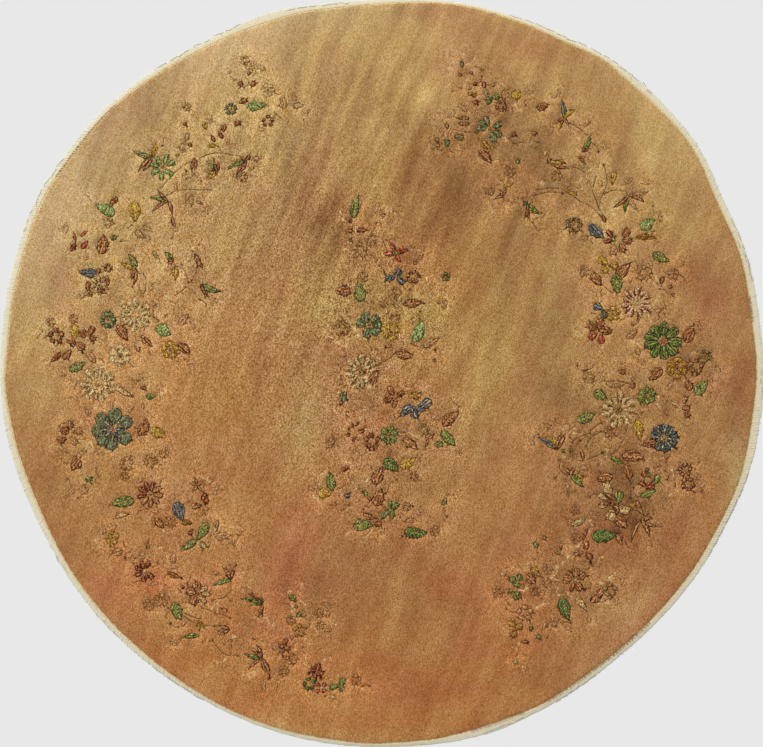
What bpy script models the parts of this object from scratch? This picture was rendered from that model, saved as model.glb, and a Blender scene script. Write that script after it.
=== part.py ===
"""Round hand-knotted pile rug with scattered flower sprays and a cream cotton edge.

The rug lies flat with its underside at z = 0 and its middle at the origin, +Z up.
It has two pieces: the knotted body with its cut pile, whose flowers are clipped
round so that they stand proud in the face, and the cotton tape that finishes the
cut edge. Lengths are in metres; the flower chart is in knots of the weave.
"""

import math

import bmesh
import bpy
from mathutils import Vector
from mathutils.geometry import delaunay_2d_cdt

# ---------------------------------------------------------------- driving sizes
MM = 0.001
KNOT = 3.93 * MM             # one knot each way, about 78 to the foot
BASE_RADIUS = 1.470          # the edge where it neither swells nor draws in
PILE_TOP = 12.0 * MM         # floor to the sheared face of the pile
PROUD = 0.9 * MM             # flowers and leaves stand this much above the face
CLIPPED = 1.5 * MM           # depth of the groove clipped round each of them
GROOVE_REACH = 5.0 * MM      # how far the groove slopes out into the field
CLOTH_BACK = 4.0 * MM        # warp, weft and knot backs under the pile
TAPE_BASE_WIDTH = 22.0 * MM  # cotton tape that shows beyond the pile
TAPE_INNER = 5.5 * MM        # tape height against the pile
TAPE_OUTER = 2.2 * MM        # tape height at its outer fold
PIECE_GAP = 0.3 * MM         # pile and tape are two pieces
EDGE_POINTS = 160            # points round the rug
FIELD_PITCH = 0.21           # plain points spread over the open field

# The chart's middle, in knots from the rug's left edge and from its top edge.
CHART_MIDDLE = (381.5, 373.5)

# Where the hand-cut edge leaves a true circle:
# (compass angle from +X in degrees, out or in by mm, reach to each side in degrees)
EDGE_SWELLS = (
    (0, 34, 36), (17, 13, 12), (35, 11, 9), (47, 66, 40), (60, -6, 8), (79, 14, 14),
    (107, 15, 12), (116, 4, 16), (145, -6, 8), (152, 52, 46), (162, -5, 8), (188, 20, 20),
    (238, -6, 24), (287, 7, 16), (294, -6, 8), (310, -16, 20), (337, -8, 10), (340, 10, 16),
)

# Where the tape shows wider or narrower than its base width: same three columns.
TAPE_SWELLS = (
    (9, 7, 12), (28, 3, 14), (48, 8, 8), (56, -7, 7), (78, -12, 24), (108, 9, 8),
    (112, 3, 20), (132, -4, 10), (160, 4, 16), (175, 4, 6), (181, -6, 7), (197, 5, 18),
    (250, -10, 26), (269, -8, 9), (277, -4, 6), (288, 8, 10), (295, -6, 6),
    (313, -3, 10), (352, 9, 14),
)

# Flowers that stand out of the face, in knots:
# (column, row, across, petals, turn of the first petal in degrees)
FLOWERS = (
    (164, 165, 24, 6, 20),
    (80, 242, 18, 4, 45),
    (99, 285, 25, 8, 0),
    (136, 315, 34, 12, 10),
    (108, 320, 16, 7, 0),
    (170, 350, 17, 5, 90),
    (120, 356, 20, 5, 30),
    (89, 335, 14, 4, 0),
    (98, 384, 38, 9, 10),
    (113, 429, 42, 7, 80),
    (70, 434, 20, 7, 110),
    (150, 492, 25, 9, 60),
    (145, 571, 21, 7, 75),
    (198, 594, 23, 6, 110),
    (204, 502, 14, 4, 45),
    (395, 252, 25, 4, 30),
    (396, 278, 17, 3, 70),
    (413, 277, 14, 4, 20),
    (369, 325, 24, 6, 90),
    (391, 332, 17, 4, 30),
    (360, 372, 32, 12, 10),
    (394, 397, 17, 5, 60),
    (416, 409, 22, 5, 30),
    (355, 432, 18, 5, 50),
    (389, 435, 18, 6, 80),
    (490, 129, 25, 6, 20),
    (574, 225, 15, 6, 0),
    (618, 240, 24, 7, 40),
    (606, 265, 16, 5, 20),
    (636, 303, 33, 14, 5),
    (598, 332, 20, 5, 80),
    (663, 341, 35, 7, 40),
    (677, 368, 20, 6, 30),
    (696, 366, 14, 5, 10),
    (647, 396, 17, 6, 90),
    (619, 410, 38, 12, 0),
    (664, 438, 27, 8, 60),
    (688, 482, 16, 4, 100),
    (613, 501, 30, 9, 70),
    (585, 553, 15, 5, 60),
    (575, 580, 23, 6, 100),
    (516, 587, 17, 5, 90),
    (310, 684, 13, 5, 100),
    (337, 686, 12, 4, 30),
)

# Leaves that stand out of the face, in knots:
# (column, row, length, width, direction of the tip in degrees)
LEAVES = (
    (256, 105, 20, 9, 5),
    (105, 210, 21, 11, 153),
    (134, 212, 20, 12, 275),
    (102, 244, 20, 11, 80),
    (88, 272, 18, 9, 176),
    (122, 333, 18, 10, 304),
    (164, 330, 16, 12, 325),
    (147, 341, 16, 6, 315),
    (184, 349, 15, 8, 318),
    (74, 333, 14, 8, 95),
    (77, 366, 18, 9, 22),
    (124, 393, 23, 5, 328),
    (143, 427, 18, 11, 65),
    (158, 434, 17, 10, 335),
    (76, 465, 13, 10, 230),
    (123, 503, 23, 11, 190),
    (180, 511, 20, 12, 286),
    (201, 531, 22, 9, 60),
    (187, 547, 16, 7, 210),
    (178, 611, 19, 11, 292),
    (356, 207, 22, 9, 80),
    (343, 290, 17, 11, 176),
    (359, 292, 20, 11, 96),
    (413, 304, 18, 9, 6),
    (418, 331, 23, 11, 66),
    (405, 354, 16, 10, 350),
    (410, 444, 18, 9, 322),
    (449, 438, 21, 10, 310),
    (451, 419, 21, 10, 42),
    (408, 462, 18, 9, 28),
    (391, 466, 18, 11, 322),
    (379, 476, 19, 11, 65),
    (378, 497, 18, 11, 66),
    (330, 481, 20, 9, 100),
    (363, 526, 20, 11, 2),
    (416, 532, 22, 11, 355),
    (485, 157, 18, 8, 315),
    (597, 231, 20, 11, 316),
    (648, 225, 17, 11, 33),
    (661, 257, 19, 9, 332),
    (624, 271, 21, 10, 50),
    (597, 279, 16, 9, 308),
    (616, 284, 20, 11, 276),
    (690, 334, 18, 11, 68),
    (656, 375, 17, 10, 220),
    (702, 388, 18, 11, 50),
    (600, 396, 15, 10, 322),
    (586, 417, 20, 9, 22),
    (638, 430, 20, 9, 280),
    (633, 457, 21, 12, 356),
    (606, 477, 16, 10, 8),
    (648, 493, 17, 6, 22),
    (604, 535, 24, 13, 4),
    (621, 523, 15, 11, 318),
    (566, 609, 22, 12, 286),
    (597, 595, 19, 9, 50),
    (547, 444, 19, 6, 320),
    (576, 485, 18, 6, 318),
    (617, 460, 14, 5, 334),
)


# ------------------------------------------------------------------- the edge
def swelling(angle, rows):
    """Sum of the soft swells, in metres, at an angle in degrees."""
    total = 0.0
    for at, amount, reach in rows:
        away = abs((angle - at + 180.0) % 360.0 - 180.0)
        if away < reach:
            total += amount * MM * math.cos(math.pi / 2 * away / reach) ** 2
    return total


def edge_radius(angle):
    """Radius of the tape's outer fold at an angle in degrees."""
    return BASE_RADIUS + swelling(angle, EDGE_SWELLS)


def pile_radius(angle):
    """Radius at which the pile stops and the tape begins to show."""
    return edge_radius(angle) - TAPE_BASE_WIDTH - swelling(angle, TAPE_SWELLS)


def middle_of_outline():
    """Middle of the box round the outer edge, so that the rug can be centred on it."""
    xs, ys = [], []
    for step in range(EDGE_POINTS):
        angle = 360.0 * step / EDGE_POINTS
        radius = edge_radius(angle)
        xs.append(radius * math.cos(math.radians(angle)))
        ys.append(radius * math.sin(math.radians(angle)))
    return Vector(((min(xs) + max(xs)) / 2, (min(ys) + max(ys)) / 2))


MIDDLE = middle_of_outline()


def round_loop(radius_at, inset=0.0):
    """Points round the rug, anticlockwise, at a radius law less an inset."""
    loop = []
    for step in range(EDGE_POINTS):
        angle = 360.0 * step / EDGE_POINTS
        radius = radius_at(angle) - inset
        turn = math.radians(angle)
        loop.append(Vector((radius * math.cos(turn), radius * math.sin(turn))) - MIDDLE)
    return loop


def chart_point(column, row):
    """Place of a chart square on the rug."""
    across = (column - CHART_MIDDLE[0]) * KNOT
    up = (CHART_MIDDLE[1] - row) * KNOT
    return Vector((across, up)) - MIDDLE


# ----------------------------------------------------------- flowers and leaves
def flower_rings(column, row, across, petals, turn):
    """Outline, groove and crown points of one flower, each with its height."""
    centre = chart_point(column, row)
    radius = across * KNOT / 2
    low = PILE_TOP - CLIPPED
    outline, foot = [], []
    per_petal = 4 if petals <= 9 else 2
    for step in range(petals * per_petal):
        phi = 2 * math.pi * step / (petals * per_petal)
        lobe = abs(math.cos(petals * phi / 2)) ** 0.7
        reach = radius * (0.62 + 0.38 * lobe)
        aim = phi + math.radians(turn)
        outline.append(centre + Vector((math.cos(aim), math.sin(aim))) * reach)
    for step in range(petals * 2):
        aim = math.pi * step / petals + math.radians(turn)
        foot.append(centre + Vector((math.cos(aim), math.sin(aim))) * (radius + GROOVE_REACH))
    crown = [(centre, PILE_TOP)]
    for step in range(petals):
        aim = 2 * math.pi * step / petals + math.radians(turn)
        place = centre + Vector((math.cos(aim), math.sin(aim))) * radius * 0.66
        crown.append((place, PILE_TOP + PROUD))
        aim += math.pi / petals
        place = centre + Vector((math.cos(aim), math.sin(aim))) * radius * 0.30
        crown.append((place, low))
    return outline, low, foot, crown


def leaf_rings(column, row, length, width, turn):
    """Outline, groove and midrib points of one leaf, each with its height."""
    centre = chart_point(column, row)
    along = Vector((math.cos(math.radians(turn)), math.sin(math.radians(turn))))
    side = Vector((-along.y, along.x))
    half, wide = length * KNOT / 2, width * KNOT / 2
    low = PILE_TOP - CLIPPED
    stations = (-1.0, -0.62, -0.1, 0.45, 1.0)
    breadths = (0.0, 0.78, 1.0, 0.66, 0.0)

    def ring(grow):
        right = [centre + along * (s * (half + grow)) + side * -(b * wide + grow * (b > 0))
                 for s, b in zip(stations, breadths)]
        left = [centre + along * (s * (half + grow)) + side * (b * wide + grow)
                for s, b in zip(stations[-2:0:-1], breadths[-2:0:-1])]
        return right + left

    crown = [(centre + along * (s * half), PILE_TOP + PROUD) for s in (-0.45, 0.2)]
    return ring(0.0), low, ring(GROOVE_REACH), crown


def inside(place, outline):
    """Whether a point lies within a closed outline."""
    crossings = 0
    for here, there in zip(outline, outline[1:] + outline[:1]):
        if (here.y > place.y) != (there.y > place.y):
            share = (place.y - here.y) / (there.y - here.y)
            crossings += place.x < here.x + share * (there.x - here.x)
    return crossings % 2 == 1


def field_points(loop):
    """Plain points over the open field, well inside the edge."""
    reach = min(point.length for point in loop) - 0.06
    points = []
    steps = int(2 * reach / FIELD_PITCH) + 1
    for i in range(-steps, steps + 1):
        for j in range(-steps, steps + 1):
            place = Vector(((i + 0.5 * (j % 2)) * FIELD_PITCH, j * FIELD_PITCH * 0.866))
            if place.length < reach:
                points.append(place)
    return points


# ------------------------------------------------------------------ the pieces
def carved_face(loop):
    """Flat face inside the loop with each flower and leaf clipped round.

    Returns the face's points with their heights, its triangles, and the index
    in those points of each point of the loop.
    """
    places = [point.copy() for point in loop]
    heights = [PILE_TOP] * len(loop)
    edges = [(i, (i + 1) % len(loop)) for i in range(len(loop))]
    rings = [flower_rings(*row) for row in FLOWERS] + [leaf_rings(*row) for row in LEAVES]
    for outline, low, foot, crown in rings:
        start = len(places)
        places.extend(outline)
        heights.extend([low] * len(outline))
        edges.extend((start + i, start + (i + 1) % len(outline)) for i in range(len(outline)))
        for place in foot:
            if not any(inside(place, other[0]) for other in rings):
                places.append(place)
                heights.append(PILE_TOP)
        for place, height in crown:
            if not any(inside(place, other[0]) for other in rings if other[0] is not outline):
                places.append(place)
                heights.append(height)
    taken = places[len(loop):]
    for place in field_points(loop):
        if all((place - other).length > 0.05 for other in taken):
            places.append(place)
            heights.append(PILE_TOP)
    flat, _, triangles, sources, _, _ = delaunay_2d_cdt(places, edges, [], 1, 1e-7)
    points, home = [], {}
    for index, (place, source) in enumerate(zip(flat, sources)):
        height = min((heights[i] for i in source), default=PILE_TOP - CLIPPED / 2)
        points.append(Vector((place.x, place.y, height)))
        for i in source:
            home[i] = index
    return points, triangles, [home[i] for i in range(len(loop))]


def add_object(name, mesh_builder, colour, roughness):
    """Make one named object with its own plain material."""
    mesh = bpy.data.meshes.new(name)
    mesh_builder.normal_update()
    mesh_builder.to_mesh(mesh)
    mesh_builder.free()
    thing = bpy.data.objects.new(name, mesh)
    bpy.context.scene.collection.objects.link(thing)
    finish = bpy.data.materials.new(name)
    finish.use_nodes = True
    surface = finish.node_tree.nodes["Principled BSDF"]
    surface.inputs["Base Color"].default_value = (*colour, 1.0)
    surface.inputs["Roughness"].default_value = roughness
    surface.inputs["Metallic"].default_value = 0.0
    mesh.materials.append(finish)
    return thing


def build_pile_field():
    """Knotted body: flat back, pile rolled off at the edge, flowers clipped in the face."""
    # (inset from the pile's edge, height) from the face down to the floor
    shoulder = ((9.0 * MM, PILE_TOP), (3.5 * MM, PILE_TOP - 1.6 * MM),
                (0.8 * MM, PILE_TOP - 5.0 * MM), (0.0, CLOTH_BACK), (0.0, 0.0))
    rings = [(round_loop(pile_radius, inset), height) for inset, height in shoulder]
    points, triangles, rim = carved_face(rings[0][0])
    bm = bmesh.new()
    verts = [bm.verts.new(point) for point in points]
    for corners in triangles:
        bm.faces.new([verts[i] for i in corners])
    upper = [verts[i] for i in rim]
    for loop, height in rings[1:]:
        lower = [bm.verts.new((point.x, point.y, height)) for point in loop]
        for i in range(len(lower)):
            j = (i + 1) % len(lower)
            bm.faces.new((upper[i], lower[i], lower[j], upper[j]))
        upper = lower
    bm.faces.new(list(reversed(upper)))
    bmesh.ops.recalc_face_normals(bm, faces=bm.faces)
    bmesh.ops.triangulate(bm, faces=[face for face in bm.faces if len(face.verts) > 4])
    return add_object("pile_field", bm, (0.47, 0.26, 0.11), 0.95)


def build_rim_binding():
    """Cotton tape round the cut edge: a low closed ring, thinner towards its outer fold."""
    crown = TAPE_INNER + 0.5 * MM
    # (share of the tape's width from the pile, height), round the section
    section = ((0.0, 0.0), (0.0, TAPE_INNER), (0.3, crown), (0.72, TAPE_INNER - 1.0 * MM),
               (1.0, TAPE_OUTER), (1.0, 0.0))
    inner = round_loop(pile_radius, -PIECE_GAP)
    outer = round_loop(edge_radius)
    bm = bmesh.new()
    rings = []
    for share, height in section:
        rings.append([bm.verts.new((*a.lerp(b, share), height)) for a, b in zip(inner, outer)])
    for here, there in zip(rings, rings[1:] + rings[:1]):
        for i in range(EDGE_POINTS):
            j = (i + 1) % EDGE_POINTS
            bm.faces.new((here[i], here[j], there[j], there[i]))
    bmesh.ops.recalc_face_normals(bm, faces=bm.faces)
    return add_object("rim_binding", bm, (0.68, 0.60, 0.38), 0.9)


def main():
    for thing in list(bpy.data.objects):
        bpy.data.objects.remove(thing, do_unlink=True)
    build_pile_field()
    build_rim_binding()


main()
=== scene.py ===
"""Dresses the round hand-knotted rug: cut wool pile with clipped flower sprays, cotton edge.

Everything is in metres in the frame of the CAD model: the underside lies at z = 0, the
middle of the outline is the origin and +Z is up out of the pile. The flower chart is in
knots of the weave, counted from the rug's left edge and from its top edge.
"""

from __future__ import annotations

import logging
import math
import random
from collections.abc import Callable, Iterable
from dataclasses import dataclass, field
from enum import Enum
from functools import partial
from typing import Any

import bpy
import numpy as np
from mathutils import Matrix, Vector, kdtree
from mathutils.geometry import delaunay_2d_cdt


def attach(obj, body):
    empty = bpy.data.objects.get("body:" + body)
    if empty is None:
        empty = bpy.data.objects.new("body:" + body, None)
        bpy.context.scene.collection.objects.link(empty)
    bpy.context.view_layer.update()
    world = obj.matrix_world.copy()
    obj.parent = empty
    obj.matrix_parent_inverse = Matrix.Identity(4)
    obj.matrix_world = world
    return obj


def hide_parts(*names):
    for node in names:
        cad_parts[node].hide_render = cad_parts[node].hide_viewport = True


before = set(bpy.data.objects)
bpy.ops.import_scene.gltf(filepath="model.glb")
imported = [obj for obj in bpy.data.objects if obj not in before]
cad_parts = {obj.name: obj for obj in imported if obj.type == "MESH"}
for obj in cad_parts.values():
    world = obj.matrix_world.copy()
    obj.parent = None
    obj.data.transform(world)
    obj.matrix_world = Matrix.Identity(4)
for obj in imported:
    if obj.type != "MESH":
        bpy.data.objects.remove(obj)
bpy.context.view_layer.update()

LOG = logging.getLogger("rug")

Colour = tuple[float, float, float]  # linear red, green and blue
Place = tuple[float, float]
Span = tuple[float, float]  # from low to high

# ------------------------------------------------------------------ sizes of the rug
MM = 0.001
KNOT = 3.93 * MM  # one knot each way, about 78 to the foot
BASE_RADIUS = 1.470  # the edge where it neither swells nor draws in
PILE_TOP = 12.0 * MM
TAPE_BASE_WIDTH = 22.0 * MM
PIECE_GAP = 0.3 * MM
CHART_MIDDLE = (381.5, 373.5)
CHART_COLUMNS = 763  # knots across the charted width, which the camera takes in
OUTLINE_STEPS = 160  # points round the CAD outline, whose box is centred on the origin

# Where the hand-cut edge leaves a true circle:
# (compass angle from +X in degrees, out or in by mm, reach to each side in degrees)
EDGE_SWELLS = (
    (0, 34, 36), (17, 13, 12), (35, 11, 9), (47, 66, 40), (60, -6, 8), (79, 14, 14),
    (107, 15, 12), (116, 4, 16), (145, -6, 8), (152, 52, 46), (162, -5, 8), (188, 20, 20),
    (238, -6, 24), (287, 7, 16), (294, -6, 8), (310, -16, 20), (337, -8, 10), (340, 10, 16),
)
# Where a darker thread runs along the edge: (from angle, to angle, share of the tape's width)
EDGE_THREADS = (
    (14, 23, 0.9), (15, 20, 0.5), (46, 50, 0.9), (51, 69, 0.95), (95, 104, 0.75),
    (112, 127, 0.9), (146, 158, 0.9), (209, 213, 0.85), (220, 224, 0.9), (232, 240, 0.9),
    (286, 292, 0.7), (298, 306, 0.95), (331, 344, 0.9), (357, 361, 0.8),
)
# Where it catches the pile in short stitches: (from angle, to angle, spacing in mm)
EDGE_LADDERS = ((135, 149, 9), (284, 293, 9), (297, 317, 9), (8, 12, 9))
# Where the tape shows wider or narrower than its base width: same three columns.
TAPE_SWELLS = (
    (9, 7, 12), (28, 3, 14), (48, 8, 8), (56, -7, 7), (78, -12, 24), (108, 9, 8),
    (112, 3, 20), (132, -4, 10), (160, 4, 16), (175, 4, 6), (181, -6, 7), (197, 5, 18),
    (250, -10, 26), (269, -8, 9), (277, -4, 6), (288, 8, 10), (295, -6, 6),
    (313, -3, 10), (352, 9, 14),
)


def linear(hex_code: str) -> Colour:
    """Linear red, green and blue of an sRGB colour's six hex digits."""
    parts = [int(hex_code[i : i + 2], 16) / 255 for i in (0, 2, 4)]
    return tuple(c / 12.92 if c <= 0.04045 else ((c + 0.055) / 1.055) ** 2.4 for c in parts)


class Dye(Enum):
    """Dyed wools: the sheared face, the clipped edge round it, which is painted shade, and the
    light strokes in it, partly a painted highlight.
    """

    GREEN = ("646A2A", "32320A", "B89A5A")
    LEAF_GREEN = ("76843E", "4A4814", "BAB076")
    DARK_GREEN = ("465A20", "202404", "A8904E")
    SAGE = ("987E46", "5C481A", "AE9A5E")
    TEAL = ("60663A", "32320E", "AE9060")
    SEA = ("62643E", "2C2A1A", "9A8E66")
    BLUE = ("444E4C", "2C2414", "BC9860")
    NAVY = ("303C36", "1C1A12", "B09A70")
    WINE = ("763416", "320800", "C48C54")
    RED = ("964426", "4C1204", "CA9058")
    BROWN = ("844C22", "3A1A04", "C08E56")
    MAUVE = ("8A5228", "361804", "C09058")
    OCHRE = ("946820", "5C3408", "BA944E")
    YELLOW = ("A27C26", "684408", "C49E50")
    PALE = ("B4945A", "7C5C28", "CCAC74")
    CREAM = ("AC8850", "4E2C0C", "C09A60")
    STRAW = ("B49258", "6A4A1A", "CCAA72")
    BLUSH = ("B48C5C", "5E2E12", "CEA678")
    OLIVE = ("7C6030", "443010", "A88A54")
    TAN = ("8E6238", "65401A", "C09866")

    @property
    def face(self) -> Colour:
        """Linear colour of the sheared face."""
        return linear(self.value[0])

    @property
    def edge(self) -> Colour:
        """Linear colour of the clipped edge: painted shade, where the groove lets less light in.
        Stems are drawn in it as well.
        """
        return linear(self.value[1])

    @property
    def light(self) -> Colour:
        """Linear colour of the light strokes drawn inside it: partly light wool, partly a painted
        highlight.
        """
        return linear(self.value[2])


class Draw(Enum):
    """How one leaf or petal is knotted."""

    VEINED = "filled, with a midrib and side veins"
    STRIPED = "filled, with light stripes along it"
    PLAIN = "filled, with its edge alone"
    OPEN = "ground colour inside, drawn by its edge alone"


G, LG, DG, SG, T, B, W, R = (
    Dye.GREEN, Dye.LEAF_GREEN, Dye.DARK_GREEN, Dye.SAGE, Dye.TEAL, Dye.BLUE, Dye.WINE, Dye.RED,
)
BR, M, OC, Y, C, ST, OL, TN = (
    Dye.BROWN, Dye.MAUVE, Dye.OCHRE, Dye.YELLOW, Dye.CREAM, Dye.STRAW, Dye.OLIVE, Dye.TAN,
)
PL, BL = Dye.PALE, Dye.BLUSH
VEINED, STRIPED, PLAIN, OPEN = Draw.VEINED, Draw.STRIPED, Draw.PLAIN, Draw.OPEN

# ------------------------------------------------------------------ the flower chart
# Pointed leaves: (column, row, length, width, direction of the tip, dye[, drawing])
LEAVES = (
    # left spray, from its top down
    (256, 105, 20, 9, 5, LG, VEINED), (284, 103, 12, 8, 90, TN, OPEN),
    (298, 105, 10, 6, 0, TN, OPEN), (213, 138, 9, 4, 120, W), (220, 135, 9, 4, 120, W),
    (212, 146, 9, 5, 0, Y), (105, 210, 21, 11, 153, LG, VEINED),
    (134, 212, 20, 12, 275, Y, VEINED), (74, 236, 9, 3, 105, R), (84, 234, 9, 3, 38, R),
    (73, 246, 11, 5, 62, W), (85, 245, 10, 5, 50, R), (102, 244, 20, 11, 80, BR, STRIPED),
    (114, 238, 8, 5, 20, G), (140, 234, 12, 6, 320, TN, OPEN), (88, 272, 18, 9, 176, B),
    (156, 255, 10, 4, 310, SG), (122, 333, 18, 10, 304, BR, STRIPED),
    (164, 330, 16, 12, 325, LG, VEINED), (184, 320, 14, 7, 50, TN, OPEN),
    (147, 341, 16, 6, 315, BR, STRIPED), (184, 349, 15, 9, 318, BR, STRIPED),
    (138, 348, 11, 5, 300, TN, OPEN), (74, 332, 15, 9, 275, Y, VEINED),
    (77, 366, 18, 9, 22, G, VEINED), (91, 358, 14, 7, 310, TN, OPEN), (67, 354, 12, 7, 50, M),
    (56, 357, 13, 5, 225, BR, STRIPED), (124, 391, 24, 5, 328, C, STRIPED),
    (151, 397, 10, 6, 10, G), (143, 427, 18, 11, 65, BR, STRIPED),
    (158, 434, 18, 10, 335, Y, VEINED), (76, 465, 13, 11, 230, BR, STRIPED),
    (89, 480, 9, 6, 310, G), (123, 503, 23, 11, 190, G, VEINED), (196, 506, 9, 6, 210, M),
    (180, 511, 20, 12, 286, B), (122, 516, 14, 5, 15, C, STRIPED),
    (160, 523, 13, 7, 308, BR, STRIPED), (186, 523, 12, 6, 350, OC),
    (117, 553, 12, 8, 200, TN, OPEN), (202, 531, 21, 9, 239, G, VEINED),
    (189, 546, 19, 7, 214, G, VEINED), (223, 537, 15, 8, 10, TN, OPEN),
    (216, 526, 14, 4, 70, SG), (148, 546, 6, 3, 90, BR), (174, 575, 13, 6, 338, BR, STRIPED),
    (174, 558, 11, 6, 85, TN, OPEN), (178, 611, 19, 11, 292, G, VEINED),
    # middle spray
    (356, 207, 22, 9, 80, G, VEINED), (362, 230, 10, 5, 0, W),
    (343, 290, 17, 11, 176, BR, STRIPED), (359, 292, 20, 11, 96, G, VEINED),
    (413, 304, 18, 9, 6, BR, VEINED), (418, 331, 23, 11, 66, LG, VEINED),
    (431, 343, 17, 7, 30, TN, OPEN), (405, 354, 16, 10, 350, BR, STRIPED),
    (375, 377, 15, 9, 62, M, STRIPED), (416, 395, 14, 7, 5, OC, VEINED),
    (451, 419, 21, 10, 42, BR, VEINED), (449, 438, 21, 10, 310, G, VEINED),
    (410, 444, 18, 9, 322, BR, STRIPED), (330, 442, 12, 8, 70, TN, OPEN),
    (391, 466, 18, 11, 322, DG, VEINED), (408, 462, 18, 9, 28, Y, VEINED),
    (379, 476, 19, 11, 65, BR, STRIPED), (330, 481, 20, 9, 100, G, VEINED),
    (325, 494, 13, 10, 350, Y, VEINED), (378, 497, 18, 11, 66, BR, STRIPED),
    (395, 506, 10, 7, 30, G), (385, 515, 12, 6, 235, T), (391, 514, 12, 6, 280, G),
    (390, 503, 8, 5, 90, DG), (445, 502, 8, 5, 60, G), (369, 516, 12, 7, 340, BR, STRIPED),
    (363, 526, 20, 11, 2, G, VEINED), (416, 532, 23, 11, 355, DG, VEINED),
    (411, 521, 12, 5, 5, TN, OPEN),
    # right spray, from its top down
    (516, 94, 11, 10, 50, Y), (543, 107, 12, 8, 20, BR, STRIPED), (486, 145, 12, 7, 320, OC),
    (485, 157, 18, 8, 315, BR, STRIPED), (508, 185, 10, 4, 15, Y), (573, 194, 9, 4, 340, Y),
    (597, 231, 20, 11, 316, B), (648, 225, 17, 11, 33, LG, VEINED),
    (661, 257, 19, 9, 332, G, VEINED), (624, 271, 21, 10, 50, BR, STRIPED),
    (597, 279, 16, 9, 308, BR, STRIPED), (616, 284, 20, 11, 276, G, VEINED),
    (632, 334, 14, 6, 40, TN, OPEN), (690, 334, 18, 11, 68, BR, STRIPED),
    (656, 375, 17, 10, 220, BR, STRIPED), (702, 388, 18, 11, 50, G, VEINED),
    (616, 383, 20, 8, 0, TN, OPEN), (633, 385, 8, 6, 100, BR), (688, 385, 12, 8, 110, BR),
    (600, 396, 15, 10, 322, G, VEINED), (586, 417, 20, 9, 22, G, VEINED),
    (638, 430, 20, 9, 280, Y, STRIPED), (649, 444, 14, 9, 190, BR, STRIPED),
    (633, 457, 22, 12, 356, BR, STRIPED), (606, 477, 16, 10, 8, BR, STRIPED),
    (628, 473, 16, 8, 285, BR), (648, 493, 17, 6, 22, G), (621, 523, 15, 11, 318, BR, STRIPED),
    (604, 535, 25, 13, 4, DG, VEINED), (619, 539, 12, 7, 290, BR, OPEN),
    (579, 521, 18, 6, 25, SG), (586, 534, 14, 3, 65, BR), (536, 571, 14, 7, 310, OC, VEINED),
    (531, 580, 13, 9, 315, BR, STRIPED), (566, 609, 23, 12, 286, DG, VEINED),
    (581, 604, 18, 6, 310, C, STRIPED), (597, 595, 19, 9, 50, BR, STRIPED),
)

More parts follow.
